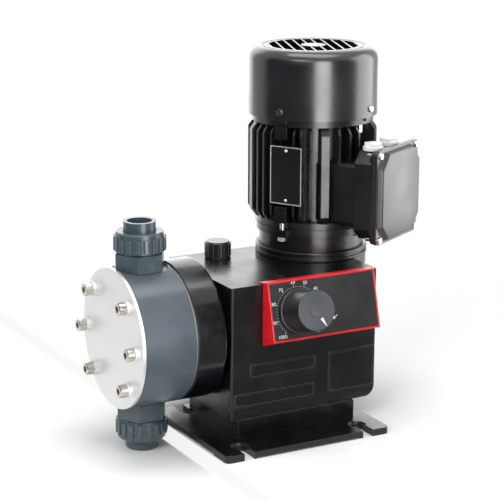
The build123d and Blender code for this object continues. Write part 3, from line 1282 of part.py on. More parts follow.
with BuildPart() as drive_end_shield:
    with BuildSketch(motor_plane(ring_top)):
        Circle(NECK_RADIUS)
    extrude(amount=NECK_HEIGHT)
    with BuildSketch(motor_plane(neck_top)):
        Circle(SHIELD_RADIUS)
    extrude(amount=SHIELD_HEIGHT)
    with BuildSketch(motor_plane(neck_top + SHIELD_HEIGHT / 2)):
        Circle(SHIELD_RADIUS + 1.0)
        Circle(SHIELD_RADIUS - 0.8, mode=Mode.SUBTRACT)
    extrude(amount=1.0, mode=Mode.SUBTRACT)
    with BuildSketch(motor_plane(neck_top)):
        with PolarLocations(BOLT_CIRCLE - LUG_WIDTH / 4, 4):
            Rectangle(LUG_WIDTH, LUG_WIDTH)
    extrude(amount=SHIELD_HEIGHT / 2)
    with BuildSketch(motor_plane(shield_floor)):
        Circle(NECK_RADIUS - SHIELD_WALL)
        Circle(MOTOR_BEARING_RADIUS + SHIELD_WALL, mode=Mode.SUBTRACT)
    extrude(amount=shield_top - shield_floor, mode=Mode.SUBTRACT)
    with BuildSketch(motor_plane(shield_floor + MOTOR_BEARING_WIDTH)):
        Circle(MOTOR_BEARING_RADIUS + SHIELD_WALL)
    extrude(amount=shield_top - shield_floor - MOTOR_BEARING_WIDTH, mode=Mode.SUBTRACT)
    with BuildSketch(motor_plane(shield_floor)):
        Circle(MOTOR_BEARING_RADIUS + SEAT_CLEARANCE)
    extrude(amount=MOTOR_BEARING_WIDTH, mode=Mode.SUBTRACT)
    with BuildSketch(motor_plane(ring_top)):
        Circle(MOTOR_SHAFT_RADIUS + 1.0)
    extrude(amount=shield_floor - ring_top, mode=Mode.SUBTRACT)
    with BuildSketch(motor_plane(neck_top)):
        with PolarLocations(BOLT_CIRCLE, 4):
            Circle(BOLT_RADIUS + THREAD_CLEARANCE)
    extrude(amount=SHIELD_HEIGHT, mode=Mode.SUBTRACT)
drive_end_shield.part.label = "drive_end_shield"
export_step(drive_end_shield.part, "parts/drive_end_shield.step")

# Finned stator housing with bolt lugs, the badge's pad and the terminal box's neck
fin_angles = [
    number * FIN_STEP
    for number in range(int(360 / FIN_STEP))
    if min(number * FIN_STEP, 360 - number * FIN_STEP) > FIN_GAP_AT_BOX
    and abs((number * FIN_STEP + 45) % 90 - 45) * pi / 180 * STATOR_SHELL_RADIUS > LUG_WIDTH / 2 + 2.0
]
with BuildPart() as stator_housing:
    with BuildSketch(motor_plane(shield_top)):
        Circle(STATOR_SHELL_RADIUS)
        for angle in fin_angles:
            with Locations(Rotation(0, 0, angle)):
                with Locations(((STATOR_BORE_RADIUS + FIN_RADIUS) / 2, 0)):
                    Rectangle(FIN_RADIUS - STATOR_BORE_RADIUS, FIN_THICKNESS)
    extrude(amount=STATOR_HEIGHT)
    with BuildSketch(motor_plane(shield_top)):
        with PolarLocations((STATOR_BORE_RADIUS + LUG_RADIUS) / 2, 4):
            Rectangle(LUG_RADIUS - STATOR_BORE_RADIUS, LUG_WIDTH)
    extrude(amount=LUG_LOWER_HEIGHT)
    with BuildSketch(motor_plane(stator_top - LUG_UPPER_HEIGHT)):
        with PolarLocations((STATOR_BORE_RADIUS + LUG_RADIUS) / 2, 4):
            Rectangle(LUG_RADIUS - STATOR_BORE_RADIUS, LUG_WIDTH)
    extrude(amount=LUG_UPPER_HEIGHT)
    with BuildSketch(motor_plane(badge_middle - BADGE_HEIGHT / 2 + 4.0)):
        with Locations((0, -(STATOR_BORE_RADIUS + BADGE_PAD_RADIUS) / 2)):
            Rectangle(BADGE_WIDTH - 8.0, BADGE_PAD_RADIUS - STATOR_BORE_RADIUS)
    extrude(amount=BADGE_HEIGHT - 8.0)
    with BuildSketch(box_plane(STATOR_BORE_RADIUS)):
        RectangleRounded(BOX_NECK_WIDTH, BOX_NECK_HEIGHT, BOX_CORNER)
    extrude(amount=BOX_NECK_OUT - STATOR_BORE_RADIUS)
    with BuildSketch(motor_plane(shield_top)):
        Circle(STATOR_BORE_RADIUS)
    extrude(amount=STATOR_HEIGHT, mode=Mode.SUBTRACT)
    with BuildSketch(motor_plane(shield_top)):
        with PolarLocations(BOLT_CIRCLE, 4):
            Circle(BOLT_RADIUS + THREAD_CLEARANCE)
    extrude(amount=LUG_LOWER_HEIGHT - 2.0, mode=Mode.SUBTRACT)
    with BuildSketch(motor_plane(stator_top)):
        with PolarLocations(REAR_BOLT_CIRCLE, 4):
            Circle(BOLT_RADIUS + THREAD_CLEARANCE)
    extrude(amount=2.0 - LUG_UPPER_HEIGHT, mode=Mode.SUBTRACT)
stator_housing.part.label = "stator_housing"
export_step(stator_housing.part, "parts/stator_housing.step")

rotor_low = shield_top + ROTOR_LIFT
with BuildPart() as stator_pack:
    with BuildSketch(motor_plane(rotor_low)):
        Circle(STATOR_BORE_RADIUS - SEAT_CLEARANCE)
        Circle(ROTOR_RADIUS + AIR_GAP, mode=Mode.SUBTRACT)
    extrude(amount=ROTOR_HEIGHT)
    for start in (rotor_low - WINDING_HEIGHT, rotor_low + ROTOR_HEIGHT):
        with BuildSketch(motor_plane(start)):
            Circle(STATOR_BORE_RADIUS - 4.0)
            Circle(ROTOR_RADIUS + 4.0, mode=Mode.SUBTRACT)
        extrude(amount=WINDING_HEIGHT)
stator_pack.part.label = "stator_pack"
export_step(stator_pack.part, "parts/stator_pack.step")

with BuildPart() as rotor_pack:
    with BuildSketch(motor_plane(rotor_low)):
        Circle(ROTOR_RADIUS)
        Circle(MOTOR_SHAFT_RADIUS + SEAT_CLEARANCE, mode=Mode.SUBTRACT)
    extrude(amount=ROTOR_HEIGHT)
rotor_pack.part.label = "rotor_pack"
export_step(rotor_pack.part, "parts/rotor_pack.step")

with BuildPart() as rear_end_shield:
    with BuildSketch(motor_plane(stator_top)):
        Circle(REAR_SHIELD_RADIUS)
    extrude(amount=REAR_SHIELD_HEIGHT)
    with BuildSketch(motor_plane(stator_top)):
        Circle(STATOR_BORE_RADIUS)
    extrude(amount=REAR_SHIELD_HEIGHT - REAR_SHIELD_PLATE, mode=Mode.SUBTRACT)
    with BuildSketch(motor_plane(rear_shield_top - REAR_SHIELD_PLATE)):
        Circle(MOTOR_BEARING_RADIUS + SHIELD_WALL)
    extrude(amount=-MOTOR_BEARING_WIDTH)
    with BuildSketch(motor_plane(rear_bearing_z)):
        Circle(MOTOR_BEARING_RADIUS + SEAT_CLEARANCE)
    extrude(amount=MOTOR_BEARING_WIDTH, mode=Mode.SUBTRACT)
    with BuildSketch(motor_plane(rear_shield_top - REAR_SHIELD_PLATE)):
        with PolarLocations(cowl_bore - COWL_EAR_DEPTH / 2, 4):
            Rectangle(2 * COWL_EAR_DEPTH, COWL_EAR_WIDTH)
        Circle(cowl_bore - SEAT_CLEARANCE, mode=Mode.INTERSECT)
        Circle(cowl_bore - COWL_EAR_DEPTH, mode=Mode.SUBTRACT)
    extrude(amount=REAR_SHIELD_PLATE + COWL_SCREW_LIFT + COWL_EAR_TOP)
    for turn in range(4):
        with BuildSketch(cowl_side_plane(90 * turn, COWL_RADIUS)):
            Circle(COWL_SCREW_RADIUS + THREAD_CLEARANCE)
        extrude(amount=-COWL_WALL - COWL_EAR_DEPTH, mode=Mode.SUBTRACT)
    with BuildSketch(motor_plane(stator_top)):
        Circle(MOTOR_SHAFT_RADIUS + 1.0)
        with PolarLocations(REAR_BOLT_CIRCLE, 4):
            Circle(BOLT_RADIUS + THREAD_CLEARANCE)
    extrude(amount=REAR_SHIELD_HEIGHT, mode=Mode.SUBTRACT)
rear_end_shield.part.label = "rear_end_shield"
export_step(rear_end_shield.part, "parts/rear_end_shield.step")

with BuildPart() as tie_bolts:
    with BuildSketch(motor_plane(neck_top - BOLT_HEAD_HEIGHT)):
        with PolarLocations(BOLT_CIRCLE, 4):
            RegularPolygon(BOLT_HEX / 2, 6, major_radius=False)
    extrude(amount=BOLT_HEAD_HEIGHT)
    with BuildSketch(motor_plane(neck_top)):
        with PolarLocations(BOLT_CIRCLE, 4):
            Circle(BOLT_RADIUS)
    extrude(amount=SHIELD_HEIGHT + LUG_LOWER_HEIGHT - 3.0)
    with BuildSketch(motor_plane(rear_shield_top)):
        with PolarLocations(REAR_BOLT_CIRCLE, 4):
            Circle(BOLT_RADIUS)
    extrude(amount=3.0 - LUG_UPPER_HEIGHT - REAR_SHIELD_HEIGHT)
    with BuildSketch(motor_plane(rear_shield_top)):
        with PolarLocations(REAR_BOLT_CIRCLE, 4):
            RegularPolygon(BOLT_HEX / 2, 6, major_radius=False)
    extrude(amount=BOLT_HEAD_HEIGHT)
tie_bolts.part.label = "tie_bolts"
export_step(tie_bolts.part, "parts/tie_bolts.step")

# Fan cowl with its slotted grille, its screws, and the fan
with BuildPart() as fan_cowl:
    with BuildSketch(motor_plane(cowl_bottom)):
        Circle(COWL_RADIUS)
    extrude(amount=COWL_HEIGHT)
    fillet(edges().filter_by(GeomType.CIRCLE).sort_by(Axis.Z)[-1], COWL_CORNER)
    offset(amount=-COWL_WALL, openings=faces().sort_by(Axis.Z)[0])
    with BuildSketch(motor_plane(cowl_top)) as grille:
        with Locations(Rotation(0, 0, GRILLE_TURN)):
            row_step = GRILLE_SLOT_WIDTH + GRILLE_BAR
            column_step = GRILLE_SLOT_LENGTH + GRILLE_CROSS_BAR
            with GridLocations(column_step, row_step, 5, 13):
                Rectangle(GRILLE_SLOT_LENGTH, GRILLE_SLOT_WIDTH)
        Circle(GRILLE_RADIUS, mode=Mode.INTERSECT)
        Circle(GRILLE_HUB_RADIUS, mode=Mode.SUBTRACT)
    extrude(amount=-2 * COWL_WALL, mode=Mode.SUBTRACT)
    for turn in range(4):
        with BuildSketch(cowl_side_plane(90 * turn, COWL_RADIUS - 2 * COWL_WALL)):
            Circle(COWL_SCREW_RADIUS + THREAD_CLEARANCE)
        extrude(amount=3 * COWL_WALL, mode=Mode.SUBTRACT)
fan_cowl.part.label = "fan_cowl"
export_step(fan_cowl.part, "parts/fan_cowl.step")

with BuildPart() as cowl_screws:
    for turn in range(4):
        with BuildSketch(cowl_side_plane(90 * turn, COWL_RADIUS)):
            Circle(COWL_SCREW_HEAD_RADIUS)
        extrude(amount=COWL_SCREW_HEAD_HEIGHT, taper=15)
        with BuildSketch(cowl_side_plane(90 * turn, COWL_RADIUS)):
            Circle(COWL_SCREW_RADIUS)
        extrude(amount=-COWL_SCREW_LENGTH)
cowl_screws.part.label = "cowl_screws"
export_step(cowl_screws.part, "parts/cowl_screws.step")

with BuildPart() as fan:
    with BuildSketch(motor_plane(fan_bottom)):
        Circle(FAN_RADIUS)
    extrude(amount=FAN_DISC)
    with BuildSketch(motor_plane(fan_bottom)):
        Circle(FAN_HUB_RADIUS)
        with PolarLocations((FAN_HUB_RADIUS + FAN_RADIUS) / 2 - 1.0, FAN_BLADES):
            Rectangle(FAN_RADIUS - FAN_HUB_RADIUS, FAN_BLADE_THICKNESS)
    extrude(amount=FAN_HEIGHT)
    with BuildSketch(motor_plane(fan_bottom)):
        Circle(MOTOR_NOSE_RADIUS + SEAT_CLEARANCE)
    extrude(amount=FAN_HEIGHT, mode=Mode.SUBTRACT)
fan.part.label = "fan"
export_step(fan.part, "parts/fan.step")

# Blank badge plate on its pad
with BuildPart() as badge:
    with BuildSketch(motor_plane(badge_middle - BADGE_HEIGHT / 2)):
        with Locations((0, -BADGE_PAD_RADIUS - BADGE_THICKNESS / 2)):
            Rectangle(BADGE_WIDTH, BADGE_THICKNESS)
    extrude(amount=BADGE_HEIGHT)
badge.part.label = "badge"
export_step(badge.part, "parts/badge.step")

# Terminal box, its gasket, lid, screws, blanking plugs and inner block
box_front = BOX_NECK_OUT + BOX_LENGTH
lid_back = box_front + BOX_GASKET
lid_front = lid_back + LID_THICKNESS
box_slope = BOX_LENGTH / 3
with BuildPart() as terminal_box:
    with BuildSketch(box_plane(BOX_NECK_OUT)):
        RectangleRounded(BOX_NECK_WIDTH + 8.0, BOX_NECK_HEIGHT + 12.0, BOX_CORNER)
    with BuildSketch(box_plane(BOX_NECK_OUT + box_slope)):
        RectangleRounded(BOX_WIDTH, BOX_HEIGHT, BOX_CORNER)
    loft()
    with BuildSketch(box_plane(BOX_NECK_OUT + box_slope)):
        RectangleRounded(BOX_WIDTH, BOX_HEIGHT, BOX_CORNER)
    extrude(amount=BOX_LENGTH - box_slope)
    with BuildSketch(box_plane(box_front)):
        RectangleRounded(BOX_WIDTH - 5 * BOX_WALL, BOX_HEIGHT - 2 * BOX_WALL, BOX_CORNER - BOX_WALL / 2)
    extrude(amount=BOX_WALL - BOX_LENGTH + box_slope, mode=Mode.SUBTRACT)
    with BuildSketch(box_plane(box_front)):
        with GridLocations(LID_SCREW_SPACING_Y, LID_SCREW_SPACING_Z, 2, 2):
            Circle(LID_SCREW_RADIUS + THREAD_CLEARANCE)
    extrude(amount=LID_THICKNESS + BOX_GASKET - LID_SCREW_LENGTH, mode=Mode.SUBTRACT)
    with BuildSketch(motor_plane(BOX_MIDDLE + BOX_HEIGHT / 2)):
        for shift in PLUG_SHIFTS:
            with Locations((BOX_NECK_OUT + PLUG_INSET, shift)):
                Circle(PLUG_THREAD_RADIUS + THREAD_CLEARANCE)
    extrude(amount=-2 * BOX_WALL, mode=Mode.SUBTRACT)
terminal_box.part.label = "terminal_box"
export_step(terminal_box.part, "parts/terminal_box.step")

with BuildPart() as terminal_gasket:
    with BuildSketch(box_plane(box_front)):
        RectangleRounded(BOX_WIDTH, BOX_HEIGHT, BOX_CORNER)
        RectangleRounded(
            BOX_WIDTH - 5 * BOX_WALL,
            BOX_HEIGHT - 2 * BOX_WALL,
            BOX_CORNER - BOX_WALL / 2,
            mode=Mode.SUBTRACT,
        )
        with GridLocations(LID_SCREW_SPACING_Y, LID_SCREW_SPACING_Z, 2, 2):
            Circle(LID_SCREW_RADIUS + THREAD_CLEARANCE, mode=Mode.SUBTRACT)
    extrude(amount=BOX_GASKET)
terminal_gasket.part.label = "terminal_gasket"
export_step(terminal_gasket.part, "parts/terminal_gasket.step")

with BuildPart() as terminal_lid:
    with BuildSketch(box_plane(lid_back)):
        RectangleRounded(LID_WIDTH, LID_HEIGHT, BOX_CORNER)
    extrude(amount=LID_THICKNESS)
    with BuildSketch(box_plane(lid_front)):
        with BuildLine():
            half_width = LID_PLATEAU_WIDTH / 2
            half_height = LID_PLATEAU_HEIGHT / 2
            Polyline(
                (half_width - LID_PLATEAU_CUT, half_height),
                (half_width, half_height - LID_PLATEAU_CUT),
                (half_width, LID_PLATEAU_CUT - half_height),
                (half_width - LID_PLATEAU_CUT, -half_height),
                (LID_PLATEAU_CUT - half_width, -half_height),
                (-half_width, LID_PLATEAU_CUT - half_height),
                (-half_width, half_height - LID_PLATEAU_CUT),
                (LID_PLATEAU_CUT - half_width, half_height),
                close=True,
            )
        make_face()
    extrude(amount=LID_PLATEAU, taper=30)
    with BuildSketch(box_plane(lid_back)):
        with GridLocations(LID_SCREW_SPACING_Y, LID_SCREW_SPACING_Z, 2, 2):
            Circle(LID_SCREW_RADIUS + THREAD_CLEARANCE)
    extrude(amount=LID_THICKNESS, mode=Mode.SUBTRACT)
terminal_lid.part.label = "terminal_lid"
export_step(terminal_lid.part, "parts/terminal_lid.step")

with BuildPart() as lid_screws:
    with BuildSketch(box_plane(lid_front)):
        with GridLocations(LID_SCREW_SPACING_Y, LID_SCREW_SPACING_Z, 2, 2):
            Circle(LID_SCREW_HEAD_RADIUS)
    extrude(amount=LID_SCREW_HEAD_HEIGHT, taper=12)
    with BuildSketch(box_plane(lid_front)):
        with GridLocations(LID_SCREW_SPACING_Y, LID_SCREW_SPACING_Z, 2, 2):
            Circle(LID_SCREW_RADIUS)
    extrude(amount=-LID_SCREW_LENGTH)
lid_screws.part.label = "lid_screws"
export_step(lid_screws.part, "parts/lid_screws.step")

box_top = BOX_MIDDLE + BOX_HEIGHT / 2
with BuildPart() as blanking_plugs:
    for shift in PLUG_SHIFTS:
        with BuildSketch(motor_plane(box_top)):
            with Locations((BOX_NECK_OUT + PLUG_INSET, shift)):
                Circle(PLUG_RADIUS)
        extrude(amount=PLUG_HEIGHT / 2)
        with BuildSketch(motor_plane(box_top + PLUG_HEIGHT / 2)):
            with Locations((BOX_NECK_OUT + PLUG_INSET, shift)):
                RegularPolygon(PLUG_RADIUS - 0.4, 6)
        extrude(amount=PLUG_HEIGHT / 2)
        with BuildSketch(motor_plane(box_top)):
            with Locations((BOX_NECK_OUT + PLUG_INSET, shift)):
                Circle(PLUG_THREAD_RADIUS)
        extrude(amount=-2 * BOX_WALL)
blanking_plugs.part.label = "blanking_plugs"
export_step(blanking_plugs.part, "parts/blanking_plugs.step")

with BuildPart() as terminal_block:
    with BuildSketch(box_plane(BOX_NECK_OUT + box_slope + BOX_WALL)):
        Rectangle(TERMINAL_BLOCK_LENGTH, TERMINAL_BLOCK_HEIGHT)
    extrude(amount=TERMINAL_BLOCK_DEPTH)
    with BuildSketch(box_plane(BOX_NECK_OUT + box_slope + BOX_WALL + TERMINAL_BLOCK_DEPTH)):
        with GridLocations(TERMINAL_BLOCK_LENGTH / 3, TERMINAL_BLOCK_HEIGHT / 2, 3, 2):
            Circle(2.0)
    extrude(amount=BOX_WALL)
terminal_block.part.label = "terminal_block"
export_step(terminal_block.part, "parts/terminal_block.step")

# Oil cap with its stem and dipstick, its seal, and the drain plug in the housing's right wall
with BuildPart() as oil_cap:
    with BuildSketch(cap_plane(housing_top + CAP_SEAL_THICKNESS)):
        Circle(CAP_RADIUS)
        with PolarLocations(CAP_RADIUS + 0.6, CAP_FLUTES):
            Circle(1.5, mode=Mode.SUBTRACT)
    extrude(amount=CAP_HEIGHT - CAP_SEAL_THICKNESS - 1.5)
    with BuildSketch(cap_plane(housing_top + CAP_HEIGHT - 1.5)):
        Circle(CAP_RADIUS - 1.0)
    extrude(amount=1.5, taper=35)
    with BuildSketch(cap_plane(housing_top + CAP_SEAL_THICKNESS)):
        Circle(CAP_STEM_RADIUS)
    extrude(amount=-CAP_SEAL_THICKNESS - CAP_STEM_LENGTH)
    with BuildSketch(cap_plane(housing_top - CAP_STEM_LENGTH)):
        Circle(DIPSTICK_RADIUS)
    extrude(amount=-DIPSTICK_LENGTH)
oil_cap.part.label = "oil_cap"
export_step(oil_cap.part, "parts/oil_cap.step")

with BuildPart() as cap_seal:
    with BuildSketch(cap_plane(housing_top)):
        Circle(CAP_RADIUS - 0.8)
        Circle(CAP_STEM_RADIUS + 0.4, mode=Mode.SUBTRACT)
    extrude(amount=CAP_SEAL_THICKNESS - SEAT_CLEARANCE)
cap_seal.part.label = "cap_seal"
export_step(cap_seal.part, "parts/cap_seal.step")

with BuildPart() as drain_plug:
    with BuildSketch(drain_plane):
        Circle(DRAIN_HEX / 2 + 1.5)
    extrude(amount=1.5)
    with BuildSketch(drain_plane.offset(1.5)):
        RegularPolygon(DRAIN_HEX / 2, 6, major_radius=False)
    extrude(amount=DRAIN_HEAD_HEIGHT - 1.5)
    with BuildSketch(drain_plane):
        Circle(DRAIN_RADIUS)
    extrude(amount=-HOUSING_WALL)
drain_plug.part.label = "drain_plug"
export_step(drain_plug.part, "parts/drain_plug.step")
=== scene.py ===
import logging
import math
from dataclasses import dataclass, field
from enum import Enum
from typing import Any

import bmesh
import bpy
from mathutils import Matrix, Vector


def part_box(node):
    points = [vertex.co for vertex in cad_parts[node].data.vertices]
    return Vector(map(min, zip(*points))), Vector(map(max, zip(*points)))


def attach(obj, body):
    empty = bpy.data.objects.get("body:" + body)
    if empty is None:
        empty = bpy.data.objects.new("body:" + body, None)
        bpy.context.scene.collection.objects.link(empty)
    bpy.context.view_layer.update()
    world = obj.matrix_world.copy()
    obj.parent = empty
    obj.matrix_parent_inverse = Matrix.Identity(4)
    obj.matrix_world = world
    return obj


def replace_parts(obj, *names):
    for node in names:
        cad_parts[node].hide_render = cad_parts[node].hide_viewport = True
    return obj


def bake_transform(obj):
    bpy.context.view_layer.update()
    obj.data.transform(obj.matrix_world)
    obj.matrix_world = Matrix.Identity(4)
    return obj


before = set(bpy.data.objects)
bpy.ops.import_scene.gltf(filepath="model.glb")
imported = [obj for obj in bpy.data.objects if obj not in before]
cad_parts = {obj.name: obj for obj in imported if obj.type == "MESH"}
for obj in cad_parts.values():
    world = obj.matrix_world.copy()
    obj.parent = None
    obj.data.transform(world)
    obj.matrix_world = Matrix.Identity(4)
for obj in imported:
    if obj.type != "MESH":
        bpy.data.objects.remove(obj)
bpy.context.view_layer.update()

logging.basicConfig(level=logging.INFO, format="%(name)s: %(message)s")
log = logging.getLogger("pump")

Point = tuple[float, float, float]
Corners = list[tuple[float, float]]
Form = bmesh.types.BMesh
Ring = list[bmesh.types.BMVert]
Tree = bpy.types.NodeTree
Socket = bpy.types.NodeSocket

MM = 0.001
HEAD_AXIS: Point = (-0.130, 0.0366, 0.106)
MOTOR_AXIS: Point = (0.0855, 0.0673, 0.0)
# White print stands this high on what carries it
PRINT_HEIGHT = 0.12 * MM
# From a section drawn in the pump's Y and Z to the pump's frame, with its normal along X
SIDE_SECTION = Matrix(((0, 0, 1, 0), (1, 0, 0, 0), (0, 1, 0, 0), (0, 0, 0, 1)))
# Faces that meet at a larger angle, in degrees, keep a sharp edge
NODE_CREASE = 28.0
PIECE_CREASE = 30.0

# Sockets of a mix node that mixes colours
MIX_A, MIX_B, MIX_COLOUR = 6, 7, 2
# A wave texture with this scale over the grain has its rings two pi grains apart. A lathe tool's
# own rings are too fine to show, so they are drawn that much coarser
RING_SCALE = 0.05
RING_DISTORTION = 1.5
RING_DETAIL = 3.0
GRAIN_DETAIL = 4.0
GRAIN_ROUGHNESS = 0.6
MOTTLE_DETAIL = 3.0
# Values of the slow noise between which the roughness changes
MOTTLE_LOW, MOTTLE_HIGH = 0.3, 0.7
LEAST_ROUGHNESS = 0.03
EDGE_SAMPLES = 4
# Cosines between the rounded and the flat normal, where the worn edge with its painted highlight
# starts and where it is strongest
EDGE_WEAR_AND_HIGHLIGHT_START, EDGE_WEAR_AND_HIGHLIGHT_END = 0.97, 0.75


class Lay(Enum):
    """How a surface's finest marks run."""

    EVEN = "alike in every direction"
    TURNED = "in rings about an axis along X"
    BRUSHED = "along Z"
    STACKED = "in sheets across Z"


# How much slower the marks change along each axis
LAY_STRETCH: dict[Lay, Point] = {
    Lay.EVEN: (1.0, 1.0, 1.0),
    Lay.BRUSHED: (1.0, 1.0, 0.03),
    Lay.STACKED: (0.02, 0.02, 1.0),
}


def srgb(code: str) -> tuple[float, float, float, float]:
    """Turns a hex colour into linear light.

    Args:
        code: six hex digits of an sRGB colour.

    Returns:
        Linear red, green, blue and an alpha of 1.
    """
    parts = [int(code[i : i + 2], 16) / 255 for i in (0, 2, 4)]
    linear = [p / 12.92 if p <= 0.04045 else ((p + 0.055) / 1.055) ** 2.4 for p in parts]
    return (linear[0], linear[1], linear[2], 1.0)


WHITE = srgb("ffffff")


def add_node(
    tree: Tree,
    kind: str,
    settings: dict[str, Any] | None = None,
    inputs: dict[str | int, Any] | None = None,
) -> bpy.types.Node:
    """Adds a shader node with its settings, values and links.

    Args:
        tree: the node tree.
        kind: the node's type name.
        settings: attributes of the node.
        inputs: a value or another node's socket for each named or numbered input.

    Returns:
        The new node.
    """
    node = tree.nodes.new(kind)
    for name, value in (settings or {}).items():
        setattr(node, name, value)
    for name, value in (inputs or {}).items():
        socket = node.inputs[name]
        if isinstance(value, Socket):
            tree.links.new(value, socket)
        else:
            socket.default_value = value
    return node


def empty_material(name: str) -> bpy.types.Material:
    """Makes a material whose node tree is still empty.

    Args:
        name: the material's name.

    Returns:
        The new material.
    """
    made = bpy.data.materials.new(name)
    made.use_nodes = True
    made.node_tree.nodes.clear()
    return made


@dataclass(frozen=True)
class Finish:
    """One real material with its surface, as a procedural shader.

    Colours are sRGB hex. grain is the size of the finest marks that show, mottle the size and the
    share of slow changes, smear how far the roughness changes, and edge how round edges look. The
    edge colour stands for worn paint and also paints a highlight along the edge.
    """

    name: str
    colour: str
    roughness: float
    metallic: float = 0.0
    ior: float = 1.5
    lay: Lay = Lay.EVEN
    axis: Point = (0.0, 0.0, 0.0)
    grain_mm: float = 0.8
    grain_depth_mm: float = 0.01
    mottle_mm: float = 30.0
    mottle: float = 0.08
    smear: float = 0.06
    edge_mm: float = 0.5
    edge_colour: str = ""
    edge_share: float = 0.0

    def pattern(self, tree: Tree, place: Socket) -> Socket:
        """Makes the finest marks of the surface.

        Args:
            tree: the material's node tree.
            place: the point on the surface, in metres.

        Returns:
            A height between 0 and 1.
        """
        if self.lay is Lay.TURNED:
            centred = add_node(
                tree, "ShaderNodeVectorMath", {"operation": "SUBTRACT"}, {0: place, 1: self.axis}
            ).outputs[0]
            return add_node(
                tree,
                "ShaderNodeTexWave",
                {"wave_type": "RINGS", "rings_direction": "X"},
                {
                    "Vector": centred,
                    "Scale": RING_SCALE / (self.grain_mm * MM),
                    "Distortion": RING_DISTORTION,
                    "Detail": RING_DETAIL,
                },
            ).outputs["Fac"]
        scaled = add_node(
            tree,
            "ShaderNodeVectorMath",
            {"operation": "MULTIPLY"},
            {0: place, 1: LAY_STRETCH[self.lay]},
        ).outputs[0]
        return add_node(
            tree,
            "ShaderNodeTexNoise",
            {},
            {
                "Vector": scaled,
                "Scale": 1 / (self.grain_mm * MM),
                "Detail": GRAIN_DETAIL,
                "Roughness": GRAIN_ROUGHNESS,
            },
        ).outputs["Fac"]

    def tint(self, tree: Tree, slow: Socket, rounded: Socket) -> Socket:
        """Mottles the colour, and lays the edge colour along round edges, as worn paint and as a
        painted highlight.

        Args:
            tree: the material's node tree.
            slow: the slow noise.
            rounded: the normal, rounded at the edges.

        Returns:
            The colour.
        """
        base = srgb(self.colour)
        low = [channel * (1 - self.mottle) for channel in base[:3]] + [1.0]
        high = [min(1.0, channel * (1 + self.mottle)) for channel in base[:3]] + [1.0]
        colour = add_node(
            tree,
            "ShaderNodeMix",
            {"data_type": "RGBA"},
            {"Factor": slow, MIX_A: low, MIX_B: high},
        ).outputs[MIX_COLOUR]
        if not self.edge_colour:
            return colour
        # Light band along round edges: partly worn paint, partly a painted highlight line
        flat = add_node(tree, "ShaderNodeNewGeometry").outputs["Normal"]
        turn = add_node(
            tree, "ShaderNodeVectorMath", {"operation": "DOT_PRODUCT"}, {0: rounded, 1: flat}
        ).outputs["Value"]
        worn_and_highlit = add_node(
            tree,
            "ShaderNodeMapRange",
            {},
            {
                "Value": turn,
                "From Min": EDGE_WEAR_AND_HIGHLIGHT_START,
                "From Max": EDGE_WEAR_AND_HIGHLIGHT_END,
                "To Min": 0.0,
                "To Max": self.edge_share,
            },
        ).outputs[0]
        return add_node(
            tree,
            "ShaderNodeMix",
            {"data_type": "RGBA"},
            {"Factor": worn_and_highlit, MIX_A: colour, MIX_B: srgb(self.edge_colour)},
        ).outputs[MIX_COLOUR]

    def material(self) -> bpy.types.Material:
        """Builds the material, or finds it where it is built already.

        Returns:
            The material.
        """
        known = bpy.data.materials.get(self.name)
        if known:
            return known
        made = empty_material(self.name)
        tree = made.node_tree
        place = add_node(tree, "ShaderNodeTexCoord").outputs["Object"]
        marks = self.pattern(tree, place)
        slow = add_node(
            tree,
            "ShaderNodeTexNoise",
            {},
            {"Vector": place, "Scale": 1 / (self.mottle_mm * MM), "Detail": MOTTLE_DETAIL},
        ).outputs["Fac"]
        rounded = add_node(
            tree, "ShaderNodeBevel", {"samples": EDGE_SAMPLES}, {"Radius": self.edge_mm * MM}
        ).outputs[0]
        rough = add_node(
            tree,
            "ShaderNodeMapRange",
            {},
            {
                "Value": slow,
                "From Min": MOTTLE_LOW,
                "From Max": MOTTLE_HIGH,
                "To Min": max(LEAST_ROUGHNESS, self.roughness - self.smear),
                "To Max": self.roughness + self.smear,
            },
        ).outputs[0]
        depth = self.grain_depth_mm * MM
        bump = add_node(
            tree,
            "ShaderNodeBump",
            {},
            {"Height": marks, "Strength": 1.0, "Distance": depth, "Normal": rounded},
        ).outputs[0]
        shader = add_node(
            tree,
            "ShaderNodeBsdfPrincipled",
            {},
            {
                "Base Color": self.tint(tree, slow, rounded),
                "Roughness": rough,
                "Metallic": self.metallic,
                "IOR": self.ior,
                "Normal": bump,
            },
        )
        add_node(tree, "ShaderNodeOutputMaterial", {}, {"Surface": shader.outputs[0]})
        return made


# Cast aluminium under a semi-gloss black paint: fine pits that break up the light on the large
# faces, and on the sharp edges a light grey that stands for bare metal and is also a painted
# highlight
CAST_PAINT = Finish(
    "painted_cast_aluminium", "09090d", 0.25, grain_mm=1.3, grain_depth_mm=0.045, edge_mm=0.7,
    # Light grey edge colour: worn paint and a painted highlight along the edges
    edge_colour="74777e", edge_share=0.85,
)
# Machined face under the same paint: nearly a mirror, with a slow wave
FLANGE_PAINT = Finish(
    "painted_turned_flange", "0b0c11", 0.2, ior=1.6, grain_mm=4.0, grain_depth_mm=0.02,
    mottle_mm=18.0, edge_mm=0.8,
)
# Die-cast motor parts under a satin black paint: a fine, even grain
MOTOR_PAINT = Finish(
    "satin_motor_paint", "141417", 0.28, grain_mm=1.4, grain_depth_mm=0.02, edge_mm=0.6
)
# Deep-drawn sheet steel under a black powder coat: smooth, with long soft highlights
COWL_PAINT = Finish(
    "powder_coated_sheet", "1f1f23", 0.25, ior=1.6, grain_mm=2.0, grain_depth_mm=0.004,
    mottle_mm=60.0,
)
# Pressure-die-cast terminal box under glossy black paint: a fine orange peel
BOX_PAINT = Finish(
    "glossy_box_paint", "161619", 0.28, ior=1.55, grain_mm=2.2, grain_depth_mm=0.008, edge_mm=0.8
)
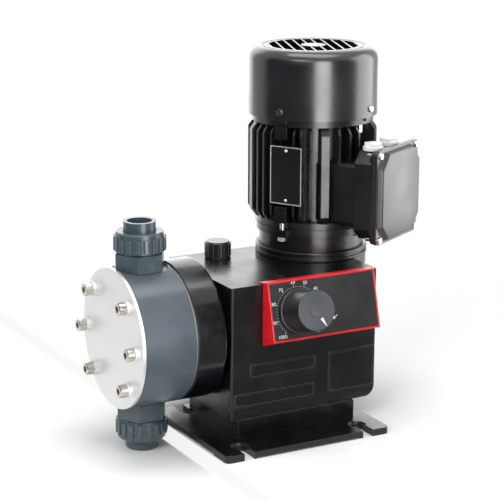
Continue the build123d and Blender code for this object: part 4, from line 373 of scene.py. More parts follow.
# The lid's flat face under the same paint, where the orange peel spreads the light
LID_PAINT = Finish(
    "orange_peel_lid_paint", "161618", 0.36, ior=1.62, grain_mm=2.2, grain_depth_mm=0.012,
    edge_mm=0.8,
)
# Turned grey PVC: faint rings of the lathe tool, satin
HEAD_PVC = Finish(
    "turned_grey_pvc", "4e5860", 0.3, lay=Lay.TURNED, axis=HEAD_AXIS, grain_mm=0.9,
    grain_depth_mm=0.006,
)
# Moulded grey-green PVC of the unions, a little glossier than the turned head
UNION_PVC = Finish(
    "moulded_union_pvc", "455359", 0.26, grain_mm=3.0, grain_depth_mm=0.015, mottle_mm=12.0,
    mottle=0.1,
)
# Stainless steel plate with a fine turned face: bright, with broad soft reflections
STAINLESS = Finish(
    "turned_stainless", "e6e6e6", 0.38, metallic=0.85, lay=Lay.TURNED, axis=HEAD_AXIS,
    grain_mm=0.6, grain_depth_mm=0.002, mottle=0.03, edge_mm=0.3,
)
# Bright zinc plate on screws and bolts, a little warm
ZINC = Finish(
    "bright_zinc_plate", "c9c5bd", 0.22, metallic=1.0, grain_mm=0.7, grain_depth_mm=0.006,
    edge_mm=0.3,
)
# Ground steel of shafts and spindles: marks along the part, a clear shine
STEEL = Finish(
    "ground_steel", "a9aaac", 0.28, metallic=1.0, lay=Lay.BRUSHED, grain_mm=0.5,
    grain_depth_mm=0.003,
)
# Machined bronze of bushes and the worm wheel: warm, with a fine cut
BRONZE = Finish(
    "machined_bronze", "b08a52", 0.3, metallic=1.0, grain_mm=0.6, grain_depth_mm=0.004
)
# Injection-moulded ABS in signal red, semi-gloss
RED_ABS = Finish(
    "red_abs", "dc1526", 0.3, grain_mm=1.5, grain_depth_mm=0.006, mottle=0.04, edge_mm=0.4
)
# Printed polyester film over the control face, satin black with a fine emboss
FACE_FILM = Finish(
    "black_face_film", "161618", 0.4, grain_mm=0.7, grain_depth_mm=0.006, mottle=0.05
)
# Moulded ABS knob with a spark-eroded grain, which dulls the light on its side
KNOB_ABS = Finish(
    "grained_knob_abs", "1d1e21", 0.4, grain_mm=0.6, grain_depth_mm=0.02, edge_mm=0.4
)
# The knob's turned front and its cap, a lighter satin than its grained side
KNOB_FRONT = Finish(
    "satin_knob_front", "4e5156", 0.35, grain_mm=0.5, grain_depth_mm=0.004, mottle=0.04,
    edge_mm=0.3,
)
# Glossy moulded polyamide of the oil cap
CAP_PA = Finish("glossy_black_polyamide", "28282c", 0.18, grain_mm=2.5, grain_depth_mm=0.006)
# White moulded polyethylene plugs, waxy
PLUG_PE = Finish(
    "white_polyethylene", "ececea", 0.4, grain_mm=1.2, grain_depth_mm=0.008, mottle=0.02
)
# Black nitrile rubber seals, dull
RUBBER = Finish("black_nitrile", "161616", 0.6, grain_depth_mm=0.02)
# Skived PTFE face of the diaphragm and valve inserts
PTFE = Finish("skived_ptfe", "dcdad2", 0.5, grain_mm=1.0, mottle=0.03)
# Varnished stack of electrical sheets: a ridge for each sheet
STACK = Finish(
    "varnished_laminations", "5a5149", 0.45, metallic=0.6, lay=Lay.STACKED, grain_depth_mm=0.06
)
# Anodised nameplate, plain black with a faint brush
BADGE_FILM = Finish(
    "black_anodised_plate", "1a1a1c", 0.35, metallic=0.3, lay=Lay.BRUSHED, grain_mm=0.4
)
# Bare aluminium edge of the nameplate and its rivets
BADGE_EDGE = Finish(
    "bright_aluminium", "e2e3e4", 0.35, metallic=0.5, grain_mm=0.5, grain_depth_mm=0.004
)
# White screen-print ink on the dial
INK = Finish("white_screen_ink", "ececec", 0.5, grain_mm=0.4, grain_depth_mm=0.004, mottle=0.03)

FINISHED_NODES: dict[Finish, tuple[str, ...]] = {
    CAST_PAINT: ("base_plate", "gear_housing", "rear_cover"),
    FLANGE_PAINT: ("pump_flange",),
    HEAD_PVC: ("dosing_head",),
    STAINLESS: ("head_plate", "head_washers"),
    UNION_PVC: (
        "discharge_valve_body", "discharge_nut", "discharge_socket", "suction_valve_body",
        "suction_nut", "suction_socket",
    ),
    PTFE: ("diaphragm", "discharge_ball", "suction_ball", "valve_seats", "valve_cages"),
    RUBBER: ("union_seals", "terminal_gasket", "cap_seal", "rear_gasket"),
    RED_ABS: ("control_panel",),
    FACE_FILM: ("panel_face",),
    KNOB_ABS: ("stroke_knob", "fan"),
    KNOB_FRONT: ("knob_cap",),
    CAP_PA: ("oil_cap",),
    MOTOR_PAINT: ("motor_ring", "drive_end_shield", "stator_housing", "rear_end_shield"),
    COWL_PAINT: ("fan_cowl",),
    BOX_PAINT: ("terminal_box", "terminal_lid"),
    PLUG_PE: ("blanking_plugs", "terminal_block"),
    BADGE_FILM: ("badge",),
    STACK: ("stator_pack", "rotor_pack"),
    ZINC: (
        "head_screws", "flange_screws", "tie_bolts", "cowl_screws", "lid_screws", "drain_plug",
        "rear_cover_screws",
    ),
    STEEL: (
        "diaphragm_core", "tappet", "return_spring", "adjusting_spindle", "eccentric_shaft",
        "eccentric_bearing", "shaft_bearings", "motor_shaft", "worm", "motor_bearings",
    ),
    BRONZE: ("tappet_bush", "spindle_bush", "worm_wheel"),
}


def shade_smooth(data: bpy.types.Mesh, crease_degrees: float) -> None:
    """Shades round faces smooth and keeps the creases sharp.

    Args:
        data: the mesh.
        crease_degrees: the angle between two faces above which their edge stays sharp.
    """
    data.polygons.foreach_set("use_smooth", [True] * len(data.polygons))
    data.set_sharp_from_angle(angle=math.radians(crease_degrees))


def dress_nodes() -> None:
    """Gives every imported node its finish, and shades its round faces smooth."""
    finishes = {name: finish for finish, names in FINISHED_NODES.items() for name in names}
    for name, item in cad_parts.items():
        finish = finishes[name]
        item.data.materials.clear()
        item.data.materials.append(finish.material())
        shade_smooth(item.data, NODE_CREASE)
        log.info("%s dressed in %s", name, finish.name)


def link_mesh(name: str, form: Form, material: bpy.types.Material) -> bpy.types.Object:
    """Turns a bmesh into an object in the scene.

    Args:
        name: the object's name.
        form: its shape, which is freed.
        material: its material.

    Returns:
        The new object.
    """
    data = bpy.data.meshes.new(name)
    form.to_mesh(data)
    form.free()
    data.materials.append(material)
    item = bpy.data.objects.new(name, data)
    bpy.context.scene.collection.objects.link(item)
    return item


def mesh_piece(name: str, form: Form, finish: Finish, body: str) -> bpy.types.Object:
    """Turns a bmesh into a piece of the pump.

    Args:
        name: the piece's name.
        form: its shape, which is freed.
        finish: its material.
        body: the rigid body that carries it.

    Returns:
        The new object.
    """
    bmesh.ops.recalc_face_normals(form, faces=form.faces)
    item = link_mesh(name, form, finish.material())
    shade_smooth(item.data, PIECE_CREASE)
    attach(item, body)
    log.info("%s made, rides on %s", name, body)
    return item


def join_rings(form: Form, low: Ring, high: Ring) -> None:
    """Adds the faces between two rings.

    Args:
        form: the bmesh.
        low: the points of the lower ring.
        high: as many points of the upper ring.
    """
    for i, point in enumerate(low):
        j = (i + 1) % len(low)
        form.faces.new((point, low[j], high[j], high[i]))


def add_loft(
    form: Form, foot: Corners, crown: Corners, place: Matrix, low: float, high: float
) -> bmesh.types.BMFace:
    """Adds a solid between two flat outlines.

    Args:
        form: the bmesh.
        foot: the lower outline, counter-clockwise, in the plane's own X and Y.
        crown: the upper outline, with as many corners.
        place: matrix from the plane to the pump's frame.
        low: the lower end along the plane's normal.
        high: the upper end.

    Returns:
        The upper face.
    """
    rings = [
        [form.verts.new(place @ Vector((x, y, level))) for x, y in corners]
        for corners, level in ((foot, low), (crown, high))
    ]
    form.faces.new(rings[0][::-1])
    top = form.faces.new(rings[1])
    join_rings(form, rings[0], rings[1])
    return top


def add_prism(form: Form, corners: Corners, place: Matrix, low: float, high: float) -> None:
    """Adds a straight prism, a loft whose two outlines are the same."""
    add_loft(form, corners, corners, place, low, high)


def add_lathe(
    form: Form, outline: Corners, place: Matrix, ring: bool = False, steps: int = 96
) -> None:
    """Adds a turned solid to a bmesh.

    Args:
        form: the bmesh.
        outline: radius and height of each corner of the section.
        place: matrix from the turning axis, its own Z, to the pump's frame.
        ring: true where the section is a closed loop round a hole, false where both ends are
            flat discs.
        steps: how many flats make the round.
    """
    turns = [2 * math.pi * i / steps for i in range(steps)]
    rings = [
        [
            form.verts.new(place @ Vector((radius * math.cos(t), radius * math.sin(t), height)))
            for t in turns
        ]
        for radius, height in outline
    ]
    pairs = list(zip(rings, rings[1:]))
    if ring:
        pairs.append((rings[-1], rings[0]))
    else:
        form.faces.new(rings[0][::-1])
        form.faces.new(rings[-1])
    for low, high in pairs:
        join_rings(form, low, high)


def arc(
    centre: tuple[float, float], radius: float, start: float, end: float, steps: int
) -> Corners:
    """Corners along an arc of a section.

    Args:
        centre: the arc's centre.
        radius: its radius.
        start: the first angle in degrees.
        end: the last angle in degrees.
        steps: how many chords it has.

    Returns:
        The corners, both ends among them.
    """
    angles = [math.radians(start + (end - start) * i / steps) for i in range(steps + 1)]
    return [(centre[0] + radius * math.cos(a), centre[1] + radius * math.sin(a)) for a in angles]


def cut_rectangle(width: float, height: float, cut: float) -> Corners:
    """Outline of a rectangle round the origin whose corners are cut off at 45 degrees.

    Args:
        width: its size along X.
        height: its size along Y.
        cut: how far each cut reaches along both sides.

    Returns:
        The corners, counter-clockwise.
    """
    x, y = width / 2, height / 2
    return [
        (x, cut - y), (x, y - cut), (x - cut, y), (cut - x, y),
        (-x, y - cut), (-x, cut - y), (cut - x, -y), (x - cut, -y),
    ]


def plane_at(origin: Vector, across: Vector, up: Vector, normal: Vector) -> Matrix:
    """Matrix of a plane from its origin and its own X, Y and Z."""
    return Matrix.Translation(origin) @ Matrix((across, up, normal)).transposed().to_4x4()


def upright(turn_degrees: float, out: float, height: float) -> Matrix:
    """Plane that stands upright and faces away from the motor's axis.

    Args:
        turn_degrees: the direction it faces, in the pump's frame.
        out: its distance from the motor's axis.
        height: the height of its origin.

    Returns:
        Its matrix, with its own Y up.
    """
    turn = math.radians(turn_degrees)
    outward = Vector((math.cos(turn), math.sin(turn), 0))
    across = Vector((-math.sin(turn), math.cos(turn), 0))
    origin = Vector((MOTOR_AXIS[0], MOTOR_AXIS[1], height)) + outward * out
    return plane_at(origin, across, Vector((0, 0, 1)), outward)


def sloped(origin: Point, tilt_degrees: float, sunk: float = 0.0) -> Matrix:
    """Plane that faces the front and leans back.

    Args:
        origin: a point on it.
        tilt_degrees: how far it leans back.
        sunk: how far it lies behind that point.

    Returns:
        Its matrix, with its own X along the pump's and its own Y up the slope.
    """
    tilt = math.radians(tilt_degrees)
    normal = Vector((0, -math.cos(tilt), math.sin(tilt)))
    up = Vector((0, math.sin(tilt), math.cos(tilt)))
    return plane_at(Vector(origin) - normal * sunk, Vector((1, 0, 0)), up, normal)


@dataclass
class SoftPart:
    """Soft part inside the head, which the housing holds at one end and the tappet at the other.

    held_x and moved_x are where along X its held and its moved end lie; build doesn't use them.
    """

    node: str
    name: str
    finish: Finish
    slot: str
    held_x: float
    moved_x: float

    def build(self) -> None:
        """Copies the node's mesh into a piece of its own, and hides the node."""
        form = bmesh.new()
        form.from_mesh(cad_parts[self.node].data)
        item = link_mesh(self.name, form, self.finish.material())
        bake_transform(item)
        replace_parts(item, self.node)
        log.info("%s made, stretches with the tappet", self.name)


@dataclass
class ControlPanel:
    """Red hood over the gear housing's top edge, with the black face that carries the dial."""

    left: float = -29.5 * MM
    length: float = 123.9 * MM
    housing_front: float = -33.4 * MM
    housing_top: float = 161.5 * MM
    rise: float = 3.8 * MM
    depth_at_top: float = 9.2 * MM
    height: float = 58.6 * MM
    tilt_degrees: float = 13.8
    under_drop: float = 9.0 * MM
    lip: float = 6.6 * MM
    lip_thickness: float = 1.0 * MM
    border: float = 2.0 * MM
    recess: float = 0.4 * MM
    recess_slope: float = 0.05 * MM
    edge: float = 0.7 * MM
    film_play: float = 0.2 * MM
    film_corner: float = 0.8 * MM
    facing_cosine: float = 0.999

    def face_plane(self) -> Matrix:
        """Works out the plane of the sloping front.

        Returns:
            Its matrix at the front's middle, with its own Y up the slope.
        """
        half = self.height / 2
        lean = half * math.tan(math.radians(self.tilt_degrees))
        middle_y = self.housing_front - self.depth_at_top - lean
        middle_z = self.housing_top + self.rise - half
        return sloped((self.left + self.length / 2, middle_y, middle_z), self.tilt_degrees)

    def build_hood(self) -> None:
        """Builds the hood, with a rim round its sunk front."""
        top = self.housing_top + self.rise
        low = top - self.height
        front_top = self.housing_front - self.depth_at_top
        front_low = front_top - self.height * math.tan(math.radians(self.tilt_degrees))
        back = self.housing_front + self.lip
        section = [
            (front_top, top),
            (front_low, low),
            (self.housing_front, low - self.under_drop),
            (self.housing_front, self.housing_top),
            (back, self.housing_top),
            (back, self.housing_top + self.lip_thickness),
        ]
        form = bmesh.new()
        add_prism(form, section, SIDE_SECTION, self.left, self.left + self.length)
        bmesh.ops.recalc_face_normals(form, faces=form.faces)
        bmesh.ops.bevel(
            form, geom=form.edges[:], offset=self.edge, segments=3, profile=0.5, affect="EDGES"
        )
        normal = self.face_plane().to_3x3() @ Vector((0, 0, 1))
        facing = [face for face in form.faces if face.normal.dot(normal) > self.facing_cosine]
        front = max(facing, key=lambda face: face.calc_area())
        for thickness, depth in (
            (self.border - self.edge, 0.0),
            (self.recess_slope, -self.recess),
        ):
            bmesh.ops.inset_region(form, faces=[front], thickness=thickness, depth=depth)
        hood = mesh_piece("panel_hood", form, RED_ABS, "frame")
        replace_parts(hood, "control_panel")

    def build_face(self) -> None:
        """Builds the black face in the hood's rim."""
        slope = self.height / math.cos(math.radians(self.tilt_degrees))
        across = self.length - 2 * self.border - self.film_play
        along = slope - 2 * self.border - self.film_play
        place = self.face_plane() @ Matrix.Translation((0, 0, -self.recess))
        film = bmesh.new()
        outline = cut_rectangle(across, along, self.film_corner)
        add_prism(film, outline, place, 0.0, self.recess / 2)
        plate = mesh_piece("panel_film", film, FACE_FILM, "frame")
        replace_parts(plate, "panel_face")

    def build(self) -> None:
        """Builds the hood, then its face."""
        self.build_hood()
        self.build_face()


@dataclass
class Knob:
    """Smooth black knob whose skirt runs just over the control face.

    base and front are levels along its axis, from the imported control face.
    """

    centre: Point = (0.0014, -0.054828, 0.135737)
    tilt_degrees: float = 15.0
    base: float = -4.3 * MM
    front: float = 31.9 * MM
    skirt_radius: float = 22.5 * MM
    skirt_height: float = 5.0 * MM
    radius: float = 20.9 * MM
    draft: float = 0.5 * MM
    edge: float = 1.0 * MM
    disc_sunk: float = 0.1 * MM
    disc_proud: float = 0.05 * MM

    def plane(self) -> Matrix:
        """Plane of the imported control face, with the knob's axis as its Z."""
        return sloped(self.centre, self.tilt_degrees)

    def build(self) -> None:
        """Turns the knob on its joint's axis, then the disc on its front."""
        waist = self.base + self.skirt_height
        front_radius = self.radius - self.draft - self.edge
        skirt_edge = (self.skirt_radius - self.edge, waist - self.edge)
        outline = [(self.skirt_radius, self.base)]
        outline += arc(skirt_edge, self.edge, 0, 90, steps=4)
        outline.append((self.radius, waist))
        outline += arc((front_radius, self.front - self.edge), self.edge, 0, 90, steps=5)
        form = bmesh.new()
        add_lathe(form, outline, self.plane())
        knob = mesh_piece("knob_body", form, KNOB_ABS, "stroke_control")
        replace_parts(knob, "stroke_knob")
        disc = bmesh.new()
        levels = (self.front - self.disc_sunk, self.front + self.disc_proud)
        add_lathe(disc, [(front_radius, level) for level in levels], self.plane())
        mesh_piece("knob_front_disc", disc, KNOB_FRONT, "stroke_control")


@dataclass
class Cowl:
    """Drawn fan cowl with a grille of parallel bars round a hub, inside a pressed rim."""

    radius: float = 67.7 * MM
    corner: float = 13.6 * MM
    wall: float = 1.6 * MM
    rim_radius: float = 53.5 * MM
    rim_width: float = 1.3 * MM
    rim_depth: float = 0.8 * MM
    rim_slope: float = 0.3 * MM
    hole_radius: float = 47.0 * MM
    hub_radius: float = 13.0 * MM
    hub_sunk: float = 0.1 * MM
    bar_width: float = 1.7 * MM
    bar_sunk: float = 0.05 * MM
    bar_inset: float = 0.1 * MM
    bar_overlap: float = 0.5 * MM
    slot_width: float = 8.4 * MM
    slots: int = 9
    bar_degrees: float = 69.0
    flats: int = 160

    def add_bars(self, form: Form, place: Matrix, high: float) -> None:
        """Adds the grille's parallel bars.

        Args:
            form: the bmesh.
            place: matrix of the motor's axis.
            high: the top of the cowl.
        """
        turned = place @ Matrix.Rotation(math.radians(self.bar_degrees), 4, "Z")
        pitch = self.slot_width + self.bar_width
        reach = self.hole_radius + self.bar_overlap
        for i in range(self.slots + 1):
            middle = (i - self.slots / 2) * pitch
            y0, y1 = middle - self.bar_width / 2, middle + self.bar_width / 2
            x0, x1 = (math.sqrt(reach**2 - y**2) for y in (y0, y1))
            corners = [(-x0, y0), (x0, y0), (x1, y1), (-x1, y1)]
            foot = high - self.wall + self.bar_inset
            add_prism(form, corners, turned, foot, high - self.bar_sunk)

    def build(self) -> None:
        """Builds the shell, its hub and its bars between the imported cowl's own levels."""
        (_, _, low), (_, _, high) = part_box("fan_cowl")
        place = Matrix.Translation(MOTOR_AXIS)
        bend = (self.radius - self.corner, high - self.corner)
        rim_inside = self.rim_radius - self.rim_width
        outline = [(self.radius, low)]
        outline += arc(bend, self.corner, 0, 90, steps=14)
        outline += [
            (self.rim_radius, high - self.rim_depth),
            (rim_inside, high - self.rim_depth),
            (rim_inside - self.rim_slope, high),
            (self.hole_radius, high),
            (self.hole_radius, high - self.wall),
        ]
        outline += arc(bend, self.corner - self.wall, 90, 0, steps=10)
        outline.append((self.radius - self.wall, low))
        form = bmesh.new()
        add_lathe(form, outline, place, ring=True, steps=self.flats)
        levels = (high - self.wall, high - self.hub_sunk)
        add_lathe(form, [(self.hub_radius, level) for level in levels], place)
        self.add_bars(form, place, high)
        cowl = mesh_piece("cowl_shell", form, COWL_PAINT, "frame")
        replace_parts(cowl, "fan_cowl")


@dataclass
class Stator:
    """Finned motor housing with its lugs, wide ribs and the neck of the terminal box.

    Angles are in degrees from the terminal box's direction, and the fins' are offsets to both
    sides of a lug or of the box. The fins beside plate_degrees stay under the nameplate.
    """

    box_degrees: float = -60.0
    bore: float = 46.2 * MM
    shell: float = 51.0 * MM
    root_overlap: float = 1.5 * MM
    fin_reach: float = 67.2 * MM
    fin_width: float = 2.4 * MM
    bevel_depth: float = 6.0 * MM
    bevel_height: float = 8.0 * MM
    lug_angles: tuple[float, ...] = (90.0, 180.0, 270.0)
    fin_offsets: tuple[float, ...] = (12.0, 19.5, 28.0)
    box_fin_offsets: tuple[float, ...] = (15.0, 25.0, 36.0)
    rib_angles: tuple[float, ...] = (-132.0, -49.0, 49.0, 132.0)
    rib_width: float = 8.5 * MM
    lug_width: float = 14.0 * MM
    lug_reach: float = 66.0 * MM
    lug_lower: float = 17.0 * MM
    lug_upper: float = 13.0 * MM
    neck_width: float = 84.0 * MM
    neck_height: float = 64.0 * MM
    neck_in: float = 26.0 * MM
    neck_out: float = 73.0 * MM
    neck_corner: float = 3.0 * MM
    box_middle: float = 235.5 * MM
    plate_out: float = 62.9 * MM
    plate_degrees: float = 270.0

    def radial(self, degrees: float) -> Matrix:
        """Plane through the motor's axis.

        Args:
            degrees: its direction from the terminal box's.

        Returns:
            Its matrix, with its own X out from the axis and its own Y up.
        """
        turn = math.radians(self.box_degrees + degrees)
        outward = Vector((math.cos(turn), math.sin(turn), 0))
        up = Vector((0, 0, 1))
        return plane_at(Vector(MOTOR_AXIS), outward, up, outward.cross(up))

    def add_fin(
        self, form: Form, degrees: float, width: float, reach: float, low: float, high: float
    ) -> None:
        """Adds one fin whose outer corners slope back.

        Args:
            form: the bmesh.
            degrees: its direction from the terminal box's.
            width: its thickness.
            reach: its outer edge's distance from the axis.
            low: its lower end.
            high: its upper end.
        """
        root = self.shell - self.root_overlap
        slope = reach - self.bevel_depth
        section = [
            (root, low),
            (slope, low),
            (reach, low + self.bevel_height),
            (reach, high - self.bevel_height),
            (slope, high),
            (root, high),
        ]
        add_prism(form, section, self.radial(degrees), -width / 2, width / 2)

    def add_fins(self, form: Form, low: float, high: float) -> None:
        """Adds the fins beside the lugs, those over the terminal box, and the wide ribs.

        Args:
            form: the bmesh.
            low: the housing's lower end.
            high: its upper end.
        """
        sides = (-1, 1)
        for lug in self.lug_angles:
            for offset in self.fin_offsets:
                reach = self.fin_reach
                if lug == self.plate_degrees:
                    reach = min(reach, self.plate_out / math.cos(math.radians(offset)))
                for side in sides:
                    self.add_fin(form, lug + side * offset, self.fin_width, reach, low, high)
        over_box = self.box_middle + self.neck_height / 2 - self.bevel_height
        for offset in self.box_fin_offsets:
            for side in sides:
                self.add_fin(
                    form, side * offset, self.fin_width, self.fin_reach, over_box, high
                )
        for angle in self.rib_angles:
            self.add_fin(form, angle, self.rib_width, self.fin_reach, low, high)

    def add_lugs(self, form: Form, low: float, high: float) -> None:
        """Adds the lugs of the tie bolts, at both ends of the housing.

        Args:
            form: the bmesh.
            low: the housing's lower end.
            high: its upper end.
        """
        root, half = self.shell - self.root_overlap, self.lug_width / 2
        for lug in self.lug_angles:
            for level, height in ((low, self.lug_lower), (high - self.lug_upper, self.lug_upper)):
                section = [
                    (root, level),
                    (self.lug_reach, level),
                    (self.lug_reach, level + height),
                    (root, level + height),
                ]
                add_prism(form, section, self.radial(lug), -half, half)

    def build(self) -> None:
        """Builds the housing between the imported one's own levels."""
        (_, _, low), (_, _, high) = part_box("stator_housing")
        tube = [(self.bore, low), (self.shell, low), (self.shell, high), (self.bore, high)]
        form = bmesh.new()
        add_lathe(form, tube, Matrix.Translation(MOTOR_AXIS), ring=True)
        self.add_fins(form, low, high)
        self.add_lugs(form, low, high)
        place = upright(self.box_degrees, 0.0, self.box_middle)
        neck = cut_rectangle(self.neck_width, self.neck_height, self.neck_corner)
        add_prism(form, neck, place, self.neck_in, self.neck_out)
        housing = mesh_piece("stator_casting", form, MOTOR_PAINT, "frame")
        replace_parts(housing, "stator_housing")


@dataclass
class TerminalBox:
    """Terminal box with cut corners, its flange, and a lid with a raised plateau.

    The levels from back to lid_front are distances from the motor's axis.
    """

    degrees: float = -60.0
    middle: float = 235.5 * MM
    back: float = 73.0 * MM
    body_width: float = 86.0 * MM
    body_height: float = 92.0 * MM
    body_cut: float = 12.0 * MM
    flange_out: float = 92.9 * MM
    flange_play: float = 1.0 * MM
    gasket_out: float = 95.9 * MM
    gasket_play: float = 3.0 * MM
    lid_out: float = 96.4 * MM
    lid_front: float = 100.4 * MM
    lid_width: float = 92.0 * MM
    lid_height: float = 97.0 * MM
    lid_corner: float = 6.0 * MM
    plateau: float = 5.0 * MM
    plateau_sunk: float = 0.2 * MM
    plateau_width: float = 87.0 * MM
    plateau_height: float = 92.0 * MM
    plateau_cut: float = 15.0 * MM
    plateau_slope: float = 2.2 * MM
    plateau_edge: float = 1.2 * MM

    def rounded(self, play: float = 0.0) -> Corners:
        """Outline of the lid or of what lies under it.

        Args:
            play: how much smaller than the lid it is.

        Returns:
            The corners, counter-clockwise.
        """
        radius = self.lid_corner
        x = (self.lid_width - play) / 2 - radius
        y = (self.lid_height - play) / 2 - radius
        corners: Corners = []
        for cx, cy, start in ((x, y, 0), (-x, y, 90), (-x, -y, 180), (x, -y, 270)):
            corners += arc((cx, cy), radius, start, start + 90, steps=5)
        return corners

    def build_lid(self, place: Matrix) -> None:
        """Builds the lid with its raised plateau.

        Args:
            place: matrix of the box's direction.
        """
        lid = bmesh.new()
        add_prism(lid, self.rounded(), place, self.lid_out, self.lid_front)
        foot = cut_rectangle(self.plateau_width, self.plateau_height, self.plateau_cut)
        crown = cut_rectangle(
            self.plateau_width - 2 * self.plateau_slope,
            self.plateau_height - 2 * self.plateau_slope,
            self.plateau_cut,
        )
        low, high = self.lid_front - self.plateau_sunk, self.lid_front + self.plateau
        top = add_loft(lid, foot, crown, place, low, high)
        bmesh.ops.bevel(
            lid,
            geom=list(top.edges),
            offset=self.plateau_edge,
            segments=3,
            profile=0.5,
            affect="EDGES",
        )
        cover = mesh_piece("terminal_cover", lid, LID_PAINT, "frame")
        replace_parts(cover, "terminal_lid")

    def build(self) -> None:
        """Builds the box, its gasket and its lid."""
        place = upright(self.degrees, 0.0, self.middle)
        box = bmesh.new()
        outline = cut_rectangle(self.body_width, self.body_height, self.body_cut)
        add_prism(box, outline, place, self.back, self.flange_out)
        add_prism(box, self.rounded(self.flange_play), place, self.flange_out, self.gasket_out)
        body = mesh_piece("terminal_box_shell", box, BOX_PAINT, "frame")
        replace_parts(body, "terminal_box")
        seal = bmesh.new()
        add_prism(seal, self.rounded(self.gasket_play), place, self.gasket_out, self.lid_out)
        gasket = mesh_piece("terminal_seal", seal, RUBBER, "frame")
        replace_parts(gasket, "terminal_gasket")
        self.build_lid(place)


@dataclass
class Dial:
    """White numbers and ticks round the stroke knob, printed on the control face.

    tenth_degrees holds the angle of each tenth of the full stroke, from 0 to 10 of them. The
    arrow's own sizes run back from its tip.
    """

    centre: Point = (0.0024, -0.0503, 0.13396)
    tilt_degrees: float = 13.8
    recess: float = 0.2 * MM
    tenth_degrees: tuple[float, ...] = (
        -78.0, -48.0, -17.0, 13.0, 43.0, 69.5, 96.5, 127.5, 159.5, 196.5, 227.5,
    )
    ticks_per_tenth: int = 5
    tick_radius: float = 24.2 * MM
    minor_length: float = 1.0 * MM
    major_length: float = 2.4 * MM
    tick_width: float = 0.4 * MM
    number_radius: float = 29.2 * MM
    number_size: float = 4.9 * MM
    last_shift: float = 2.0 * MM
    arrow_tip: tuple[float, float] = (37.1 * MM, -12.8 * MM)
    arrow_degrees: float = 211.5
    arrow_head: float = -3.4 * MM
    arrow_tail: float = -7.3 * MM
    arrow_half_head: float = 1.5 * MM
    arrow_half_shaft: float = 0.3 * MM

    def plane(self) -> Matrix:
        """Plane of the control face at the knob's axis, with its own Y up the slope."""
        return sloped(self.centre, self.tilt_degrees, sunk=self.recess)

    def angle(self, tenths: float) -> float:
        """Direction of a part of the full stroke, whose steps on the dial aren't all alike.

        Args:
            tenths: how many tenths of the full stroke.

        Returns:
            The angle in radians.
        """
        whole = min(int(tenths), len(self.tenth_degrees) - 2)
        low, high = self.tenth_degrees[whole : whole + 2]
        return math.radians(low + (tenths - whole) * (high - low))

    def build_ticks(self) -> None:
        """Prints one short tick for every second part in a hundred, and a long one at a tenth."""
        form = bmesh.new()
        place = self.plane()
        inner, half, per_tenth = self.tick_radius, self.tick_width / 2, self.ticks_per_tenth
        for step in range(per_tenth, per_tenth * (len(self.tenth_degrees) - 1) + 1):
            outer = inner + (self.minor_length if step % per_tenth else self.major_length)
            turn = Matrix.Rotation(self.angle(step / per_tenth), 4, "Z")
            corners = [(inner, -half), (outer, -half), (outer, half), (inner, half)]
            add_prism(form, corners, place @ turn, 0.0, PRINT_HEIGHT)
        mesh_piece("dial_ticks", form, INK, "frame")

    def build_numbers(self) -> None:
        """Prints the plain numbers 10 to 100 upright round the ticks."""
        last = len(self.tenth_degrees) - 1
        for tenth in range(1, last + 1):
            number = 10 * tenth
            angle, out = self.angle(tenth), self.number_radius
            if tenth == last:
                out += self.last_shift
            text = bpy.data.curves.new(f"dial_{number}", "FONT")
            text.body = f"{number}%" if tenth == last else str(number)
            text.size = self.number_size
            text.align_x = "CENTER"
            text.align_y = "CENTER"
            text.extrude = PRINT_HEIGHT / 2
            holder = bpy.data.objects.new(f"dial_text_{number}", text)
            bpy.context.scene.collection.objects.link(holder)
            bpy.context.view_layer.update()
            graph = bpy.context.evaluated_depsgraph_get()
            data = bpy.data.meshes.new_from_object(holder.evaluated_get(graph))
            bpy.data.objects.remove(holder)
            place = (out * math.cos(angle), out * math.sin(angle), PRINT_HEIGHT / 2)
            data.transform(self.plane() @ Matrix.Translation(place))
            form = bmesh.new()
            form.from_mesh(data)
            mesh_piece(f"dial_number_{number}", form, INK, "frame")

    def build_arrow(self) -> None:
        """Prints the small arrow that points at the dial from the right."""
        turn = Matrix.Rotation(math.radians(self.arrow_degrees), 4, "Z")
        place = self.plane() @ (Matrix.Translation((*self.arrow_tip, 0)) @ turn)
        head, tail = self.arrow_head, self.arrow_tail
        half, shaft = self.arrow_half_head, self.arrow_half_shaft
        corners = [
            (0.0, 0.0), (head, half), (head, shaft), (tail, shaft),
            (tail, -shaft), (head, -shaft), (head, -half),
        ]
        form = bmesh.new()
        add_prism(form, corners, place, 0.0, PRINT_HEIGHT)
        mesh_piece("dial_arrow", form, INK, "frame")

    def build(self) -> None:
        """Builds the whole print."""
        self.build_ticks()
        self.build_numbers()
        self.build_arrow()


@dataclass
class KnobPointer:
    """White wedge on the knob's front that points at the dial."""

    knob: Knob = field(default_factory=Knob)
    start: float = 9.2 * MM
    shoulder: float = 1.2 * MM
    end: float = 19.0 * MM
    width: float = 3.0 * MM
    tip_width: float = 0.5 * MM
    degrees: float = -60.0

    def build(self) -> None:
        """Builds the wedge, so that it turns with the knob."""
        turn = Matrix.Rotation(math.radians(self.degrees), 4, "Z")
        lift = Matrix.Translation((0, 0, self.knob.front))
        half, tip, shoulder = self.width / 2, self.tip_width / 2, self.start + self.shoulder
        corners = [
            (self.start, -half),
            (shoulder, -half),
            (self.end, -tip),
            (self.end, tip),
            (shoulder, half),
            (self.start, half),
        ]
        form = bmesh.new()
        add_prism(form, corners, self.knob.plane() @ lift @ turn, 0.0, PRINT_HEIGHT)
        mesh_piece("knob_pointer", form, INK, "stroke_control")


